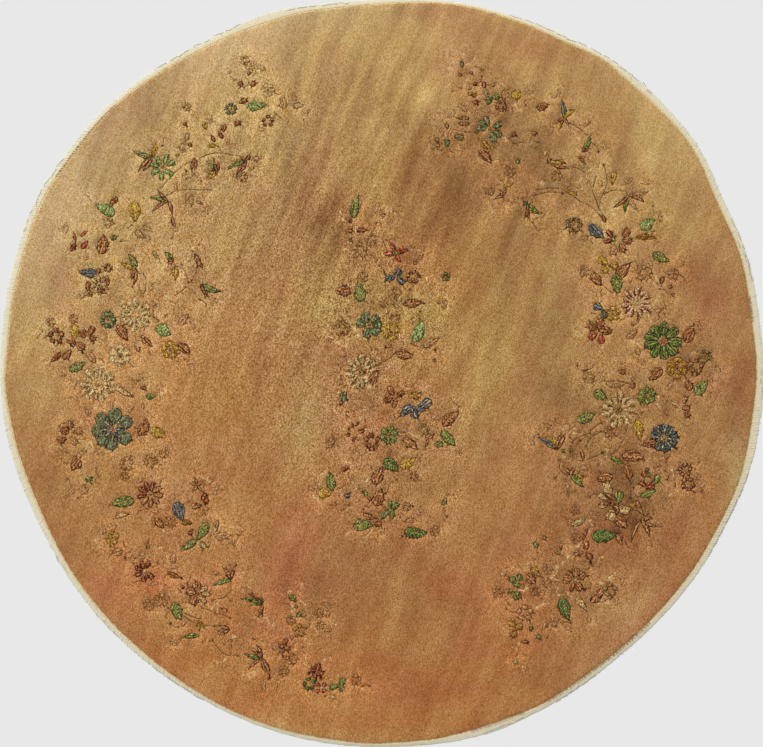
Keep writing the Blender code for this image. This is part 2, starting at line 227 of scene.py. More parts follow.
# Rounded petals and buds: (column, row, length, width, direction, dye[, drawing])
PETALS = (
    # left spray
    (249, 73, 4, 4, 0, M), (253, 84, 6, 5, 60, BR), (241, 84, 6, 5, 120, BR),
    (243, 101, 8, 6, 30, BR), (238, 123, 7, 5, 200, BR), (224, 128, 7, 5, 240, BR),
    (205, 126, 7, 5, 110, Y), (185, 124, 4, 4, 0, BR), (187, 137, 8, 5, 70, TN, OPEN),
    (182, 147, 8, 5, 250, TN, OPEN), (190, 145, 4, 4, 0, M), (112, 203, 8, 5, 60, BR),
    (116, 200, 7, 4, 80, BR), (83, 334, 9, 8, 110, BR), (91, 331, 9, 7, 60, BR),
    (92, 338, 8, 6, 330, BR), (72, 342, 9, 8, 120, M), (80, 346, 10, 8, 320, M),
    (143, 388, 6, 4, 0, BR), (70, 425, 9, 7, 90, M), (65, 431, 9, 7, 150, M),
    (62, 440, 9, 7, 205, M), (78, 431, 9, 7, 20, TN, OPEN), (74, 441, 9, 7, 300, TN, OPEN),
    (206, 501, 6, 6, 0, R), (204, 497, 8, 6, 60, W), (203, 545, 8, 6, 300, SG),
    (190, 533, 5, 5, 0, W), (182, 587, 4, 4, 0, BR),
    # foot of the left spray
    (292, 598, 7, 7, 100, G), (299, 615, 7, 5, 40, G), (295, 601, 3, 3, 0, BR),
    (296, 607, 3, 3, 0, BR), (285, 642, 7, 5, 60, M), (281, 646, 6, 5, 170, M),
    (282, 651, 6, 5, 230, M), (287, 648, 6, 5, 330, BR), (318, 667, 7, 6, 90, W),
    (313, 670, 6, 6, 170, W), (315, 675, 6, 6, 250, W), (320, 673, 6, 6, 330, W),
    (334, 687, 9, 6, 200, G), (342, 682, 9, 6, 60, G), (341, 688, 7, 6, 330, G),
    # middle spray
    (383, 215, 4, 4, 0, BR), (350, 221, 4, 4, 0, BR), (350, 231, 5, 4, 0, W),
    (350, 240, 5, 4, 0, OL), (395, 253, 5, 5, 0, G), (415, 263, 4, 4, 0, BR),
    (390, 278, 9, 7, 180, B), (398, 273, 9, 7, 60, B), (401, 281, 9, 7, 320, B),
    (439, 303, 3, 3, 0, BR), (344, 397, 9, 7, 90, T), (341, 403, 4, 4, 0, W),
    (391, 391, 10, 6, 120, BR), (400, 394, 9, 6, 30, BR), (388, 400, 8, 6, 200, BR),
    (395, 403, 10, 5, 250, BR), (409, 409, 13, 9, 200, B, STRIPED), (404, 413, 8, 6, 220, B),
    (414, 413, 12, 8, 300, B, STRIPED), (420, 408, 10, 8, 0, B),
    (426, 404, 13, 9, 40, B, STRIPED), (351, 427, 8, 3, 50, W), (357, 424, 5, 3, 60, W),
    (361, 431, 6, 4, 0, W), (348, 435, 4, 4, 0, W), (354, 439, 7, 3, 60, W),
    (427, 443, 9, 3, 70, BR), (431, 437, 8, 3, 40, BR), (439, 444, 7, 6, 0, G),
    (345, 469, 8, 5, 30, W), (347, 496, 6, 5, 0, B), (366, 494, 5, 4, 90, G),
    (362, 491, 7, 3, 130, BR), (369, 498, 7, 3, 310, BR), (378, 524, 8, 6, 0, M),
    # right spray
    (462, 64, 7, 4, 100, T), (460, 75, 4, 3, 0, BR), (471, 73, 4, 3, 0, BR),
    (475, 84, 5, 4, 0, W), (484, 85, 6, 5, 90, W), (470, 94, 5, 4, 0, Y),
    (474, 95, 6, 4, 0, BR), (475, 102, 6, 4, 0, BR), (469, 88, 5, 4, 0, TN, OPEN),
    (493, 85, 5, 4, 0, TN, OPEN), (489, 101, 7, 6, 200, G), (496, 97, 8, 6, 30, G),
    (487, 94, 7, 5, 120, SG), (491, 99, 4, 4, 0, DG), (505, 95, 9, 8, 60, TN, OPEN),
    (447, 126, 6, 4, 90, BR), (459, 137, 9, 6, 0, OL), (447, 143, 7, 6, 90, T),
    (437, 140, 5, 4, 0, BR), (437, 145, 5, 4, 0, BR), (490, 148, 7, 5, 330, Y),
    (513, 135, 6, 4, 30, BR), (534, 133, 6, 4, 330, BR), (518, 162, 5, 4, 90, G),
    (585, 238, 7, 6, 0, TN, OPEN), (604, 219, 8, 4, 110, BR), (626, 233, 10, 8, 55, M),
    (627, 241, 10, 7, 355, M), (622, 248, 9, 7, 300, M), (610, 234, 9, 5, 130, W),
    (608, 241, 9, 5, 185, W), (614, 250, 10, 7, 260, TN, OPEN), (613, 239, 5, 5, 0, G),
    (603, 261, 10, 8, 150, Y), (606, 269, 9, 7, 230, Y), (614, 266, 9, 7, 350, OC),
    (662, 280, 8, 5, 80, M), (670, 287, 4, 4, 0, BR), (673, 295, 4, 4, 0, BR),
    (598, 307, 9, 8, 160, B), (604, 314, 9, 7, 290, B), (600, 324, 11, 8, 80, BR),
    (592, 327, 11, 8, 135, BR), (593, 336, 10, 7, 215, R), (606, 331, 11, 8, 5, BR),
    (601, 339, 10, 7, 290, R), (658, 311, 7, 5, 30, TN, OPEN), (638, 352, 7, 5, 120, TN, OPEN),
    (622, 372, 7, 5, 0, M), (685, 400, 8, 6, 80, M), (686, 408, 8, 6, 0, M),
    (687, 414, 7, 6, 300, M), (563, 451, 4, 4, 0, G), (571, 451, 4, 4, 0, G),
    (643, 484, 8, 6, 140, W), (650, 486, 9, 8, 30, W), (644, 474, 7, 6, 100, R),
    (648, 475, 5, 5, 0, G), (647, 470, 5, 4, 80, DG), (657, 479, 9, 6, 80, G),
    (608, 490, 17, 9, 110, C, STRIPED), (603, 497, 11, 6, 150, C), (604, 505, 11, 6, 190, C),
    (611, 515, 12, 10, 250, C, STRIPED), (622, 509, 18, 9, 340, C, STRIPED),
    (611, 497, 14, 5, 150, M), (610, 504, 12, 4, 170, M), (617, 508, 12, 6, 270, M),
    (619, 497, 12, 9, 80, G), (536, 545, 7, 5, 120, G), (544, 538, 5, 4, 0, OL),
    (561, 547, 7, 3, 90, M), (558, 553, 5, 4, 0, OL), (586, 546, 9, 6, 90, BR),
    (589, 556, 9, 6, 320, BR), (579, 553, 9, 6, 190, BR), (512, 580, 7, 7, 130, G),
    (519, 578, 7, 7, 60, G), (517, 585, 6, 6, 0, G), (510, 591, 6, 5, 200, G),
    (517, 595, 8, 8, 290, G), (512, 624, 8, 6, 150, OC), (519, 627, 8, 6, 350, OC),
    (514, 634, 8, 6, 250, OC), (531, 629, 6, 4, 90, T), (539, 637, 5, 5, 0, G),
    (545, 626, 8, 5, 60, TN, OPEN), (553, 624, 8, 5, 0, TN, OPEN), (525, 642, 7, 4, 0, W),
    (515, 662, 5, 4, 0, SG), (88, 286, 9, 6, 80, M, STRIPED), (90, 294, 7, 5, 50, M),
    (98, 272, 8, 5, 70, M), (107, 281, 10, 5, 100, M, STRIPED), (102, 291, 7, 4, 300, M),
)

# Blooms of even petals: (column, row, across, petals, first direction[, petal dye,
# dye of the eye, drawing]); the short rows are the faint ones in the ground's own wool
BLOOMS = (
    (252, 69, 12, 5, 90, PL, Y, PLAIN), (268, 90, 14, 6, 60, PL, BR, PLAIN),
    (231, 109, 12, 5, 90, T, M, PLAIN), (268, 121, 12, 5, 18, BR, C, PLAIN),
    (187, 107, 9, 5, 90), (108, 268, 9, 5, 0, BR, C, PLAIN), (108, 320, 16, 7, 0, T, M, PLAIN),
    (170, 350, 17, 5, 90, Y, BR, PLAIN), (120, 356, 22, 6, 30, PL, G, STRIPED),
    (56, 336, 16, 5, 90, BR, TN, PLAIN), (127, 464, 14, 5, 90), (151, 461, 13, 5, 60),
    (84, 490, 10, 5, 90), (112, 538, 14, 5, 90, Y, BR, PLAIN), (162, 600, 14, 5, 90),
    (299, 631, 13, 5, 90, OC, BR, PLAIN), (319, 614, 9, 5, 90), (320, 625, 9, 5, 30),
    (292, 659, 12, 5, 90), (284, 671, 11, 5, 60), (309, 684, 13, 5, 100, DG, C, PLAIN),
    (321, 688, 12, 4, 45, R, C, PLAIN), (356, 680, 11, 5, 90), (360, 250, 16, 5, 90),
    (413, 277, 14, 5, 90, BR, C, PLAIN), (446, 277, 9, 5, 90, G, BR, PLAIN),
    (397, 303, 10, 4, 0), (384, 303, 10, 4, 0), (342, 328, 16, 5, 90),
    (372, 441, 16, 5, 90, BR, TN, PLAIN), (389, 435, 18, 6, 80, G, W, PLAIN),
    (424, 430, 12, 5, 90, OL, TN, OPEN), (414, 477, 10, 5, 90),
    (501, 106, 12, 5, 54, BR, C, PLAIN), (464, 121, 12, 4, 45, BR, TN, PLAIN),
    (574, 225, 16, 6, 0, OL, BR, PLAIN), (644, 273, 16, 5, 90),
    (673, 274, 12, 5, 90, TN, BR, OPEN), (613, 314, 15, 5, 90, Y, BR, PLAIN),
    (677, 368, 22, 6, 30, OC, BR, PLAIN), (696, 366, 16, 5, 10, BR, C, PLAIN),
    (705, 356, 13, 5, 50, OL, BR, PLAIN), (589, 378, 12, 5, 90),
    (647, 396, 18, 6, 90, G, BR, PLAIN), (664, 438, 28, 8, 60, Dye.NAVY, SG, PLAIN),
    (610, 432, 12, 5, 90), (685, 470, 14, 5, 90, BR, TN, PLAIN),
    (688, 484, 14, 5, 60, BR, TN, PLAIN), (548, 570, 10, 5, 90), (547, 583, 10, 5, 30),
    (610, 590, 14, 5, 90, OL, TN, OPEN), (525, 613, 16, 5, 90, C, TN, OPEN),
)

# Blooms whose petals point their own ways: (column, row, across, petal width,
# directions, petal dye, dye of the eye[, drawing])
OWN_WAY_BLOOMS = (
    (113, 429, 24, 10, (111, 163, 206, 244, 292, 355), B, W),
    (113, 429, 42, 13, (82, 140, 186, 226, 262, 322, 28), Dye.SEA, R, VEINED),
    (150, 494, 26, 5, (72, 112, 152, 192), W, C),
    (150, 494, 26, 5, (232, 272, 312, 352, 32), BR, C, OPEN),
    (145, 571, 22, 5, (68, 112, 160, 205, 262, 318), W, C),
    (198, 594, 24, 9, (100, 160, 240), M, C, STRIPED),
    (198, 594, 24, 5, (0, 40, 310), C, BR),
    (369, 325, 26, 9, (112, 42, 168, 255, 318, 5), T, M),
    (391, 332, 17, 7, (120, 20, 215, 290), Y, BR),
    (490, 129, 27, 6, (112, 176, 25, 330, 288, 150), T, BR, STRIPED),
    (163, 167, 27, 5, (25, 70, 128, 168, 212, 262, 318), LG, BR, STRIPED),
    (663, 341, 38, 9, (85, 125, 160, 195, 235, 275, 315, 355, 40), DG, BR, STRIPED),
    (99, 285, 20, 4, (50, 95, 140, 190, 235, 280, 335), C, G, STRIPED),
    (575, 580, 24, 8, (85, 35, 300, 175), BR, C, STRIPED),
    (575, 580, 24, 4, (250, 130), BR, C),
    (614, 502, 22, 3, (128, 158, 196, 268, 320), W, BR),
)

# Chrysanthemums: (column, row, across, rays, first direction, ray width, ray dye,
# dye of the eye)
CHRYSANTHEMUMS = (
    (136, 315, 34, 13, 10, 5.6, ST, ST), (98, 384, 38, 14, 0, 5.4, PL, SG),
    (362, 372, 38, 14, 10, 5.8, C, OL), (619, 410, 38, 13, 0, 6.2, C, OL),
    (636, 303, 33, 14, 5, 4.4, BL, SG),
)

# Narrow bamboo blades from one point: (column, row, ((direction, length, width, dye), ...))
SPRIGS = (
    (152, 157, ((76, 16, 5, Y), (162, 20, 5, G), (227, 20, 4, BR), (237, 17, 4, BR))),
    (195, 158, ((258, 14, 4, BR), (270, 12, 3, BR))),
    (218, 172, ((138, 14, 5, G), (107, 14, 4, W), (93, 11, 3, W), (176, 13, 4, BR),
                (214, 14, 5, Y))),
    (246, 160, ((208, 21, 5, G), (248, 13, 4, BR), (240, 19, 3, BR), (149, 6, 4, W),
                (60, 8, 4, W))),
    (168, 201, ((170, 19, 5, G), (132, 15, 4, BR), (214, 18, 4, BR), (288, 14, 4, BR))),
    (172, 216, ((288, 12, 4, BR),)),
    (190, 192, ((315, 18, 5, TN), (275, 15, 5, TN), (250, 12, 4, TN))),
    (136, 268, ((120, 16, 7, G), (160, 17, 5, Y), (250, 14, 4, BR), (260, 19, 4, BR))),
    (173, 262, ((132, 14, 6, G), (190, 7, 3, W), (155, 7, 3, W))),
    (176, 267, ((270, 12, 7, Y),)),
    (195, 253, ((298, 17, 6, BR),)),
    (200, 284, ((340, 23, 6, G), (292, 15, 4, BR), (304, 16, 4, BR))),
    (197, 485, ((30, 7, 3, BR), (100, 7, 3, BR), (170, 7, 3, BR), (240, 7, 3, BR),
                (310, 7, 3, BR))),
    (231, 580, ((124, 15, 4, BR), (110, 14, 4, BR), (93, 14, 4, BR), (70, 17, 4, BR),
                (198, 19, 5, G))),
    (200, 620, ((300, 10, 3, OC), (270, 9, 3, OC), (245, 8, 3, OC))),
    (199, 636, ((187, 17, 5, G),)),
    (230, 630, ((160, 12, 4, BR), (185, 12, 4, BR), (208, 12, 4, BR))),
    (263, 604, ((168, 23, 4, G), (158, 17, 3, G), (147, 18, 3, W), (134, 15, 3, W),
                (188, 11, 3, G), (250, 14, 3, BR), (268, 12, 3, BR), (104, 8, 3, G))),
    (262, 658, ((146, 13, 3, W), (131, 14, 4, W), (113, 15, 4, W), (166, 18, 5, G),
                (221, 18, 3, BR), (293, 20, 4, BR), (283, 14, 3, W))),
    (395, 253, ((115, 12, 4, R), (10, 14, 5, R), (305, 11, 4, R), (183, 12, 5, R))),
    (564, 118, ((98, 19, 5, B), (37, 14, 5, Y), (250, 8, 3, BR), (300, 9, 3, BR),
                (215, 10, 3, BR))),
    (503, 196, ((120, 8, 3, BR), (60, 8, 3, BR), (200, 8, 3, BR))),
    (582, 152, ((63, 20, 5, G), (20, 9, 4, R))),
    (578, 157, ((0, 8, 3, BR), (315, 10, 3, BR))),
    (550, 163, ((345, 20, 4, BR), (358, 16, 4, BR), (12, 15, 5, Y), (100, 6, 4, W))),
    (616, 171, ((257, 15, 5, Y),)),
    (629, 195, ((257, 18, 5, G), (219, 20, 4, W), (10, 20, 4, TN), (335, 17, 4, BR),
                (300, 20, 4, TN))),
    (528, 204, ((320, 16, 5, G), (150, 6, 4, DG), (275, 16, 4, W), (258, 14, 4, W),
                (60, 10, 4, TN))),
    (636, 238, ((20, 20, 5, OC), (358, 21, 5, OC), (8, 16, 3, OC))),
    (611, 457, ((334, 14, 5, G),)),
    (556, 450, ((146, 23, 5, B), (96, 18, 4, Y), (62, 20, 4, BR), (70, 18, 4, BR))),
    (583, 460, ((103, 13, 4, BR),)),
    (570, 475, ((129, 12, 4, BR), (53, 10, 4, BR), (355, 17, 4, Y), (317, 18, 6, G),
                (268, 22, 4, TN))),
    (634, 501, ((255, 16, 4, OC),)),
    (637, 500, ((293, 17, 5, M),)),
    (641, 520, ((246, 24, 4, BR), (297, 19, 5, M), (337, 17, 4, BR), (10, 12, 5, M),
                (40, 8, 3, W))),
)

# Stems, one knot wide: (dye, ((column, row), ...))
STEMS = (
    (OL, ((162, 187), (172, 176), (178, 170), (196, 158))),
    (OL, ((200, 158), (215, 153), (240, 156))),
    (OL, ((168, 195), (180, 190), (210, 190))),
    (OL, ((137, 274), (143, 274), (146, 280), (145, 290), (143, 296))),
    (OL, ((176, 266), (183, 269), (188, 280), (187, 284))),
    (OL, ((176, 295), (184, 289), (187, 284), (191, 282), (199, 284))),
    (OL, ((192, 280), (196, 273), (197, 268))),
    (BR, ((79, 460), (83, 455), (86, 452))),
    (OL, ((231, 581), (231, 590), (225, 597), (213, 600))),
    (OL, ((184, 613), (193, 617), (200, 619))),
    (OL, ((184, 617), (200, 625), (214, 626))),
    (OL, ((231, 640), (232, 650), (231, 656))),
    (OL, ((213, 641), (218, 648), (227, 655), (238, 656))),
    (TN, ((203, 608), (209, 610), (215, 613))),
    (TN, ((220, 613), (225, 616), (230, 618))),
    (OL, ((372, 235), (382, 239), (386, 248))),
    (OL, ((420, 320), (421, 316), (420, 312))),
    (OL, ((412, 344), (422, 348), (430, 348))),
    (OL, ((380, 363), (390, 358), (396, 352))),
    (BR, ((476, 84), (481, 81), (482, 77))),
    (OL, ((455, 130), (465, 132), (475, 132))),
    (OL, ((570, 123), (580, 129), (585, 134))),
    (OL, ((590, 141), (596, 146), (599, 151))),
    (OL, ((563, 166), (574, 167), (583, 171))),
    (OL, ((599, 209), (596, 200), (593, 193), (591, 186), (589, 181))),
    (OL, ((599, 209), (601, 198), (605, 190), (607, 182), (606, 172), (604, 166))),
    (OL, ((593, 186), (595, 181), (596, 177))),
    (OL, ((601, 197), (608, 192), (616, 190), (625, 192), (629, 195))),
    (OL, ((599, 214), (590, 206), (580, 201), (572, 195), (566, 192), (562, 189),
          (548, 188), (537, 190))),
    (OL, ((562, 193), (548, 192), (536, 195))),
    (BR, ((597, 279), (606, 288), (612, 293))),
    (OL, ((640, 317), (638, 323), (634, 325))),
    (OL, ((601, 432), (592, 437), (586, 446))),
    (OL, ((628, 425), (624, 438), (618, 450), (612, 454))),
    (OL, ((600, 423), (595, 427), (590, 432))),
    (OL, ((590, 433), (574, 440), (571, 452), (575, 459), (583, 461), (592, 458),
          (602, 453))),
    (OL, ((560, 462), (560, 470), (568, 476))),
    (OL, ((631, 480), (631, 488), (631, 497))),
    (OL, ((633, 482), (634, 492), (638, 497))),
    (C, ((203, 501), (205, 505), (208, 508))),
)

# Soft washes over the tan ground, where its dye took more rose, where it shows lighter or
# darker, and where it leans from green to pink: (column, row, half length, half width,
# direction of the length, rose, light, blush, fading), without the zeros that end a row
WASHES = (
    (150, 170, 190, 110, 50, -0.35), (20, 290, 120, 50, 90, -0.35, 0.07),
    (320, 15, 70, 40, 0, -0.4), (680, 120, 120, 40, -50, -0.5, 0.06),
    (480, 150, 130, 90, 70, 0.3), (370, 220, 80, 60, 60, 0.15),
    (470, 400, 110, 60, 80, -0.15, 0.03), (700, 290, 40, 30, 90, 0.2),
    (630, 610, 40, 36, 0, -0.4, 0.08), (90, 350, 60, 60, 0, -0.1),
    (380, 10, 330, 70, 0, 0, 0.12), (470, 165, 100, 52, 70, 0, -0.19),
    (390, 290, 110, 60, 80, 0, -0.1), (190, 380, 120, 70, 60, 0, 0.11),
    (630, 440, 140, 66, 75, 0, -0.18), (684, 348, 26, 22, 0, 0, -0.16),
    (610, 70, 80, 50, -40, 0, 0.12), (380, 710, 260, 60, 0, -0.08, 0.1),
    (130, 600, 100, 60, -50, 0, 0.09), (250, 506, 60, 40, 0, 0, 0.08),
    (410, 470, 60, 40, 80, 0, -0.06), (560, 220, 80, 50, 60, 0, -0.06),
    (490, 705, 60, 34, 10, 0, -0.045), (728, 405, 26, 60, 0, 0, -0.045),
    (575, 575, 50, 60, 0, 0, -0.03), (180, 635, 50, 26, -40, 0, 0.035),
    # patches a few hands wide, from the top down
    (440, 8, 30, 10, 0, 0, -0.08, 0.6), (245, 48, 70, 26, 28, -0.12, 0.13, 0.1),
    (288, 62, 16, 10, 80, 0, -0.12, 0.5), (328, 72, 22, 14, 80, 0.05, -0.12, 0.8),
    (450, 65, 25, 15, 30, 0, -0.04, 0.5), (520, 65, 22, 12, -30, 0, 0.12, -0.2),
    (590, 68, 36, 15, -45, 0.1, -0.16, 0.3), (415, 95, 20, 15, 80, 0, 0.16, -0.5),
    (120, 112, 44, 22, 60, 0, -0.06, 0.6), (620, 108, 35, 22, 60, 0.2, -0.06),
    (205, 145, 40, 14, 70, 0, 0.05), (288, 165, 62, 9, 73, 0, -0.16, 0.1),
    (380, 165, 60, 14, 72, 0, 0.03, -0.5), (425, 165, 52, 9, 70, -0.1, 0.11),
    (530, 145, 14, 14, 0, 0, -0.14), (643, 160, 16, 11, 80, 0, 0.2, -0.2),
    (560, 180, 20, 16, 60, 0, -0.1, 0.2), (480, 190, 20, 16, 60, 0, -0.09),
    (64, 190, 100, 22, 62, -0.1, 0.13, 0.1), (240, 195, 36, 12, 75, 0, 0.09),
    (270, 215, 36, 10, 66, 0, -0.12, 0.1), (312, 224, 22, 14, 60, 0, -0.15),
    (515, 235, 20, 15, 80, 0, -0.12), (545, 240, 26, 11, 75, 0, 0.09),
    (715, 210, 40, 20, 80, 0.2), (655, 215, 18, 12, 80, 0, 0.05, -0.4),
    (460, 250, 20, 18, 0, 0, 0.05, -0.5), (325, 270, 40, 18, 70, 0, 0, -0.9),
    (60, 275, 22, 18, 80, 0, -0.07, 0.8), (700, 270, 25, 25, 0, 0, -0.08, 0.2),
    (500, 282, 40, 10, 75, 0, -0.1), (712, 302, 26, 18, 85, 0, -0.08, 0.9),
    (325, 312, 22, 16, 0, 0, 0.1, -0.9), (400, 305, 55, 22, -10, -0.15, 0.03, -0.8),
    (425, 326, 20, 18, 0, 0, 0.07, -0.7), (65, 312, 26, 14, 0, 0, 0, 0.7),
    (550, 345, 62, 22, 88, 0, -0.07, -0.4), (490, 365, 46, 20, 80, 0, 0.06, -0.9),
    (615, 365, 30, 24, 80, -0.15, 0.12), (210, 390, 36, 20, 85, -0.02, -0.04, -0.3),
    (715, 386, 26, 14, 0, 0, -0.1, 0.7), (265, 390, 30, 14, 85, 0, -0.05, -0.4),
    (580, 400, 20, 18, 0, 0, -0.13), (300, 425, 42, 20, 85, -0.1, 0.1, -0.8),
    (375, 430, 25, 18, 0, 0, 0, 0.7), (90, 480, 26, 16, 0, 0, 0.03, -0.5),
    (575, 500, 30, 14, 80, 0, -0.11, 0.2), (300, 520, 36, 24, 80, 0, 0, 0.8),
    (680, 522, 42, 14, 78, 0, -0.04, 0.5), (225, 530, 28, 24, 0, 0, 0.06),
    (590, 545, 20, 15, 80, 0, 0, 0.8), (530, 550, 32, 15, 0, 0, 0, 0.6),
    (290, 562, 26, 25, 0, 0, -0.04, 0.9), (460, 580, 36, 20, 0, 0.15, 0, 0.5),
    (650, 582, 26, 20, 60, 0, -0.04, 0.3), (325, 585, 42, 14, 0, 0, -0.08, 0.3),
    (110, 592, 28, 20, -40, 0, 0, 0.8), (280, 605, 40, 18, 80, 0, 0.03, 0.6),
    (500, 615, 26, 24, 0, 0, 0.05, 0.2), (200, 640, 32, 15, 0, 0, 0.05, -0.3),
    (290, 640, 20, 15, 80, 0, 0.08), (470, 642, 16, 12, 80, 0, -0.04, 1),
    (550, 660, 32, 20, 20, 0, -0.07, 0.5), (390, 690, 26, 18, 0, 0, -0.1, 0.9),
    (455, 692, 42, 14, 0, 0, -0.09, 0.8), (250, 712, 60, 12, -22, 0, 0.1),
    (360, 330, 40, 14, 0, -0.1, 0.02, -0.5), (575, 85, 20, 14, 0, 0.15, -0.06, 0.3),
    (515, 40, 60, 12, -20, 0.12, -0.06, 0.5), (310, 170, 66, 12, 78, 0.08, -0.07, 0.4),
    (630, 490, 26, 34, 0, 0, -0.12, 0.2), (738, 480, 16, 46, 0, -0.25, 0.12, -0.5),
    (738, 385, 14, 42, 0, 0.1, -0.08, 0.4), (400, 665, 44, 22, 0, 0, -0.05, 0.5),
    (655, 612, 40, 12, 50, 0.3, -0.03, 0.5), (300, 735, 110, 12, -6, -0.25, 0.09, -0.5),
    (95, 448, 20, 14, 0, 0, 0, -0.7), (135, 470, 26, 26, 0, -0.1, 0.06, -0.2),
    (78, 550, 26, 18, 0, 0, -0.07), (165, 582, 34, 14, 0, 0, 0.06, 0.6),
    (440, 490, 30, 20, 0, -0.1, 0.04, -0.3), (246, 62, 24, 16, 60, 0, 0.09),
    (380, 200, 44, 22, 70, 0, 0.07, -0.2), (350, 562, 44, 34, 0, 0.05, -0.06),
    (500, 600, 26, 22, 0, 0, 0.06, 0.2), (116, 346, 50, 34, 60, 0.04, 0.07, 0.15),
    (622, 286, 44, 28, -68, 0, 0.1), (645, 338, 20, 14, -40, 0, 0.08, 0.2),
    (621, 472, 22, 14, -80, 0, -0.14), (618, 527, 32, 18, 50, 0, -0.13, 0.2),
    (664, 448, 30, 10, 31, 0, -0.12), (580, 440, 38, 13, 77, 0.03, -0.12, 0.2),
    (735, 430, 10, 20, 0, 0, -0.15, 0.1), (524, 142, 46, 22, -45, 0, -0.12),
    (628, 183, 22, 11, -70, 0, -0.12), (553, 568, 32, 24, -55, 0, -0.09),
    (419, 90, 22, 14, -45, 0, 0.14, -0.2, 0.1), (266, 192, 24, 15, 43, 0.05, 0.11, 0.2),
    (202, 271, 19, 12, 68, 0, -0.15), (98, 281, 24, 10, 48, 0, 0.11),
    (163, 270, 26, 12, 69, 0, 0.1, -0.2), (178, 217, 24, 12, 86, 0, 0.1),
    (145, 231, 12, 9, 55, 0, -0.1), (225, 114, 34, 11, 53, 0, 0.12, 0, 0.1),
    (88, 206, 20, 13, 34, 0, 0.1, 0.1, 0.1), (190, 89, 12, 10, 0, 0, 0.09, 0.3),
    (306, 131, 24, 9, 71, 0, -0.1, 0.1), (153, 110, 18, 12, 34, 0, -0.08, 0.4),
    (188, 667, 30, 13, -18, 0, 0.12, -0.1), (221, 580, 28, 17, 39, 0, 0.11),
    (308, 674, 12, 18, 0, 0, 0.1, 0.2), (375, 633, 30, 12, 58, 0, 0.1),
    (536, 677, 28, 12, 6, 0, -0.1), (370, 401, 13, 11, 0, 0, -0.16),
    (388, 355, 15, 10, 0, 0, -0.1), (382, 327, 22, 10, 5, 0, 0.11, -0.2, -0.3),
    (433, 346, 20, 11, -80, 0, 0.1, -0.2), (405, 267, 20, 13, 75, 0.05, 0.09, 0.1),
    (419, 443, 40, 16, 47, 0, -0.08), (486, 227, 30, 12, 47, 0, 0.1, -0.2),
    (574, 227, 22, 10, 20, 0, 0.1, -0.1), (687, 253, 38, 11, 54, 0, 0.1, -0.2),
    (648, 154, 26, 12, -42, 0, 0.08, -0.2, 0.1), (25, 354, 10, 20, 0, 0, 0.12, -0.1),
    (517, 507, 24, 13, -74, 0, 0.09), (546, 393, 20, 16, 46, 0, -0.08),
    (472, 385, 24, 10, 72, 0, 0.08), (286, 87, 26, 12, -30, 0, 0.08, 0.2),
    (98, 388, 26, 20, 0, 0, 0.09), (146, 350, 24, 18, 60, 0, 0.08),
    (578, 600, 26, 34, 15, 0, -0.09), (606, 522, 30, 24, 60, 0, -0.07, 0.3),
    (459, 62, 20, 16, 0, 0, -0.08, 0.3), (173, 160, 22, 16, 0, 0, 0.07, 0.1),
    (62, 488, 18, 18, 0, 0, -0.09, -0.2), (485, 122, 28, 22, 0, 0, -0.08, 0.1),
    (568, 122, 30, 20, 64, 0, -0.07, 0.1), (397, 472, 34, 20, 46, 0, -0.08),
    (334, 236, 30, 18, -55, 0, -0.08), (450, 32, 30, 14, -32, 0, -0.04, 0.5),
    (472, 441, 28, 22, -52, 0, -0.07), (620, 308, 28, 22, 0, 0, 0.08),
    (386, 219, 28, 14, 52, 0, -0.07), (323, 600, 26, 20, -27, 0, -0.07, 0.1),
    (547, 183, 28, 24, 0, 0, -0.07), (552, 315, 28, 16, 55, 0, -0.07),
    (406, 14, 24, 6, 0, 0, -0.12, 0.3), (290, 594, 24, 18, 13, 0, -0.05, 0.2),
    # where it has faded grey, and where its dye is freshest
    (58, 200, 130, 36, 62, 0, 0, 0, 0.45), (235, 42, 100, 36, 28, 0, 0.02, 0, 0.45),
    (330, 10, 60, 20, 0, 0, 0, 0, 0.25), (742, 478, 60, 18, 90, 0, 0.04, 0, 0.4),
    (620, 640, 90, 16, 40, 0, 0, 0, 0.3), (250, 725, 90, 16, -18, 0, 0, 0, 0.2),
    (430, 290, 110, 80, 60, 0, 0, 0, -0.22), (215, 395, 60, 46, 0, 0, 0, 0, -0.2),
    (430, 690, 200, 44, 0, 0, 0, 0, -0.2), (300, 425, 40, 24, 85, 0, 0, 0, 0.2),
)


# ------------------------------------------------------------------ outline of the rug
def swelling(angle: np.ndarray, rows: tuple) -> np.ndarray:
    """Sum the soft swells of the edge.

    Args:
        angle: compass angles from +X, in degrees.
        rows: swells as (angle, millimetres, reach).

    Returns:
        The swell at each angle, in metres.
    """
    total = np.zeros_like(angle)
    for at, amount, reach in rows:
        away = np.abs((angle - at + 180.0) % 360.0 - 180.0)
        near = away < reach
        total[near] += amount * MM * np.cos(math.pi / 2 * away[near] / reach) ** 2
    return total


def edge_radius(angle: np.ndarray) -> np.ndarray:
    """Radius of the tape's outer fold at angles in degrees."""
    return BASE_RADIUS + swelling(angle, EDGE_SWELLS)


def pile_radius(angle: np.ndarray) -> np.ndarray:
    """Radius at which the pile stops, at angles in degrees."""
    return edge_radius(angle) - TAPE_BASE_WIDTH - swelling(angle, TAPE_SWELLS)


def polar(radius: np.ndarray, angle: np.ndarray) -> np.ndarray:
    """Flat points from radii and angles in degrees."""
    turn = np.radians(angle)
    return np.stack((radius * np.cos(turn), radius * np.sin(turn)), axis=1)


def round_angles(steps: int) -> np.ndarray:
    """Even angles once round the rug, in degrees."""
    return np.arange(steps) * 360.0 / steps


def middle_of_outline() -> np.ndarray:
    """Find the middle of the box round the outer edge, on which the CAD model is centred.

    Returns:
        Its flat place.
    """
    angle = round_angles(OUTLINE_STEPS)
    loop = polar(edge_radius(angle), angle)
    return (loop.min(0) + loop.max(0)) / 2


MIDDLE = middle_of_outline()


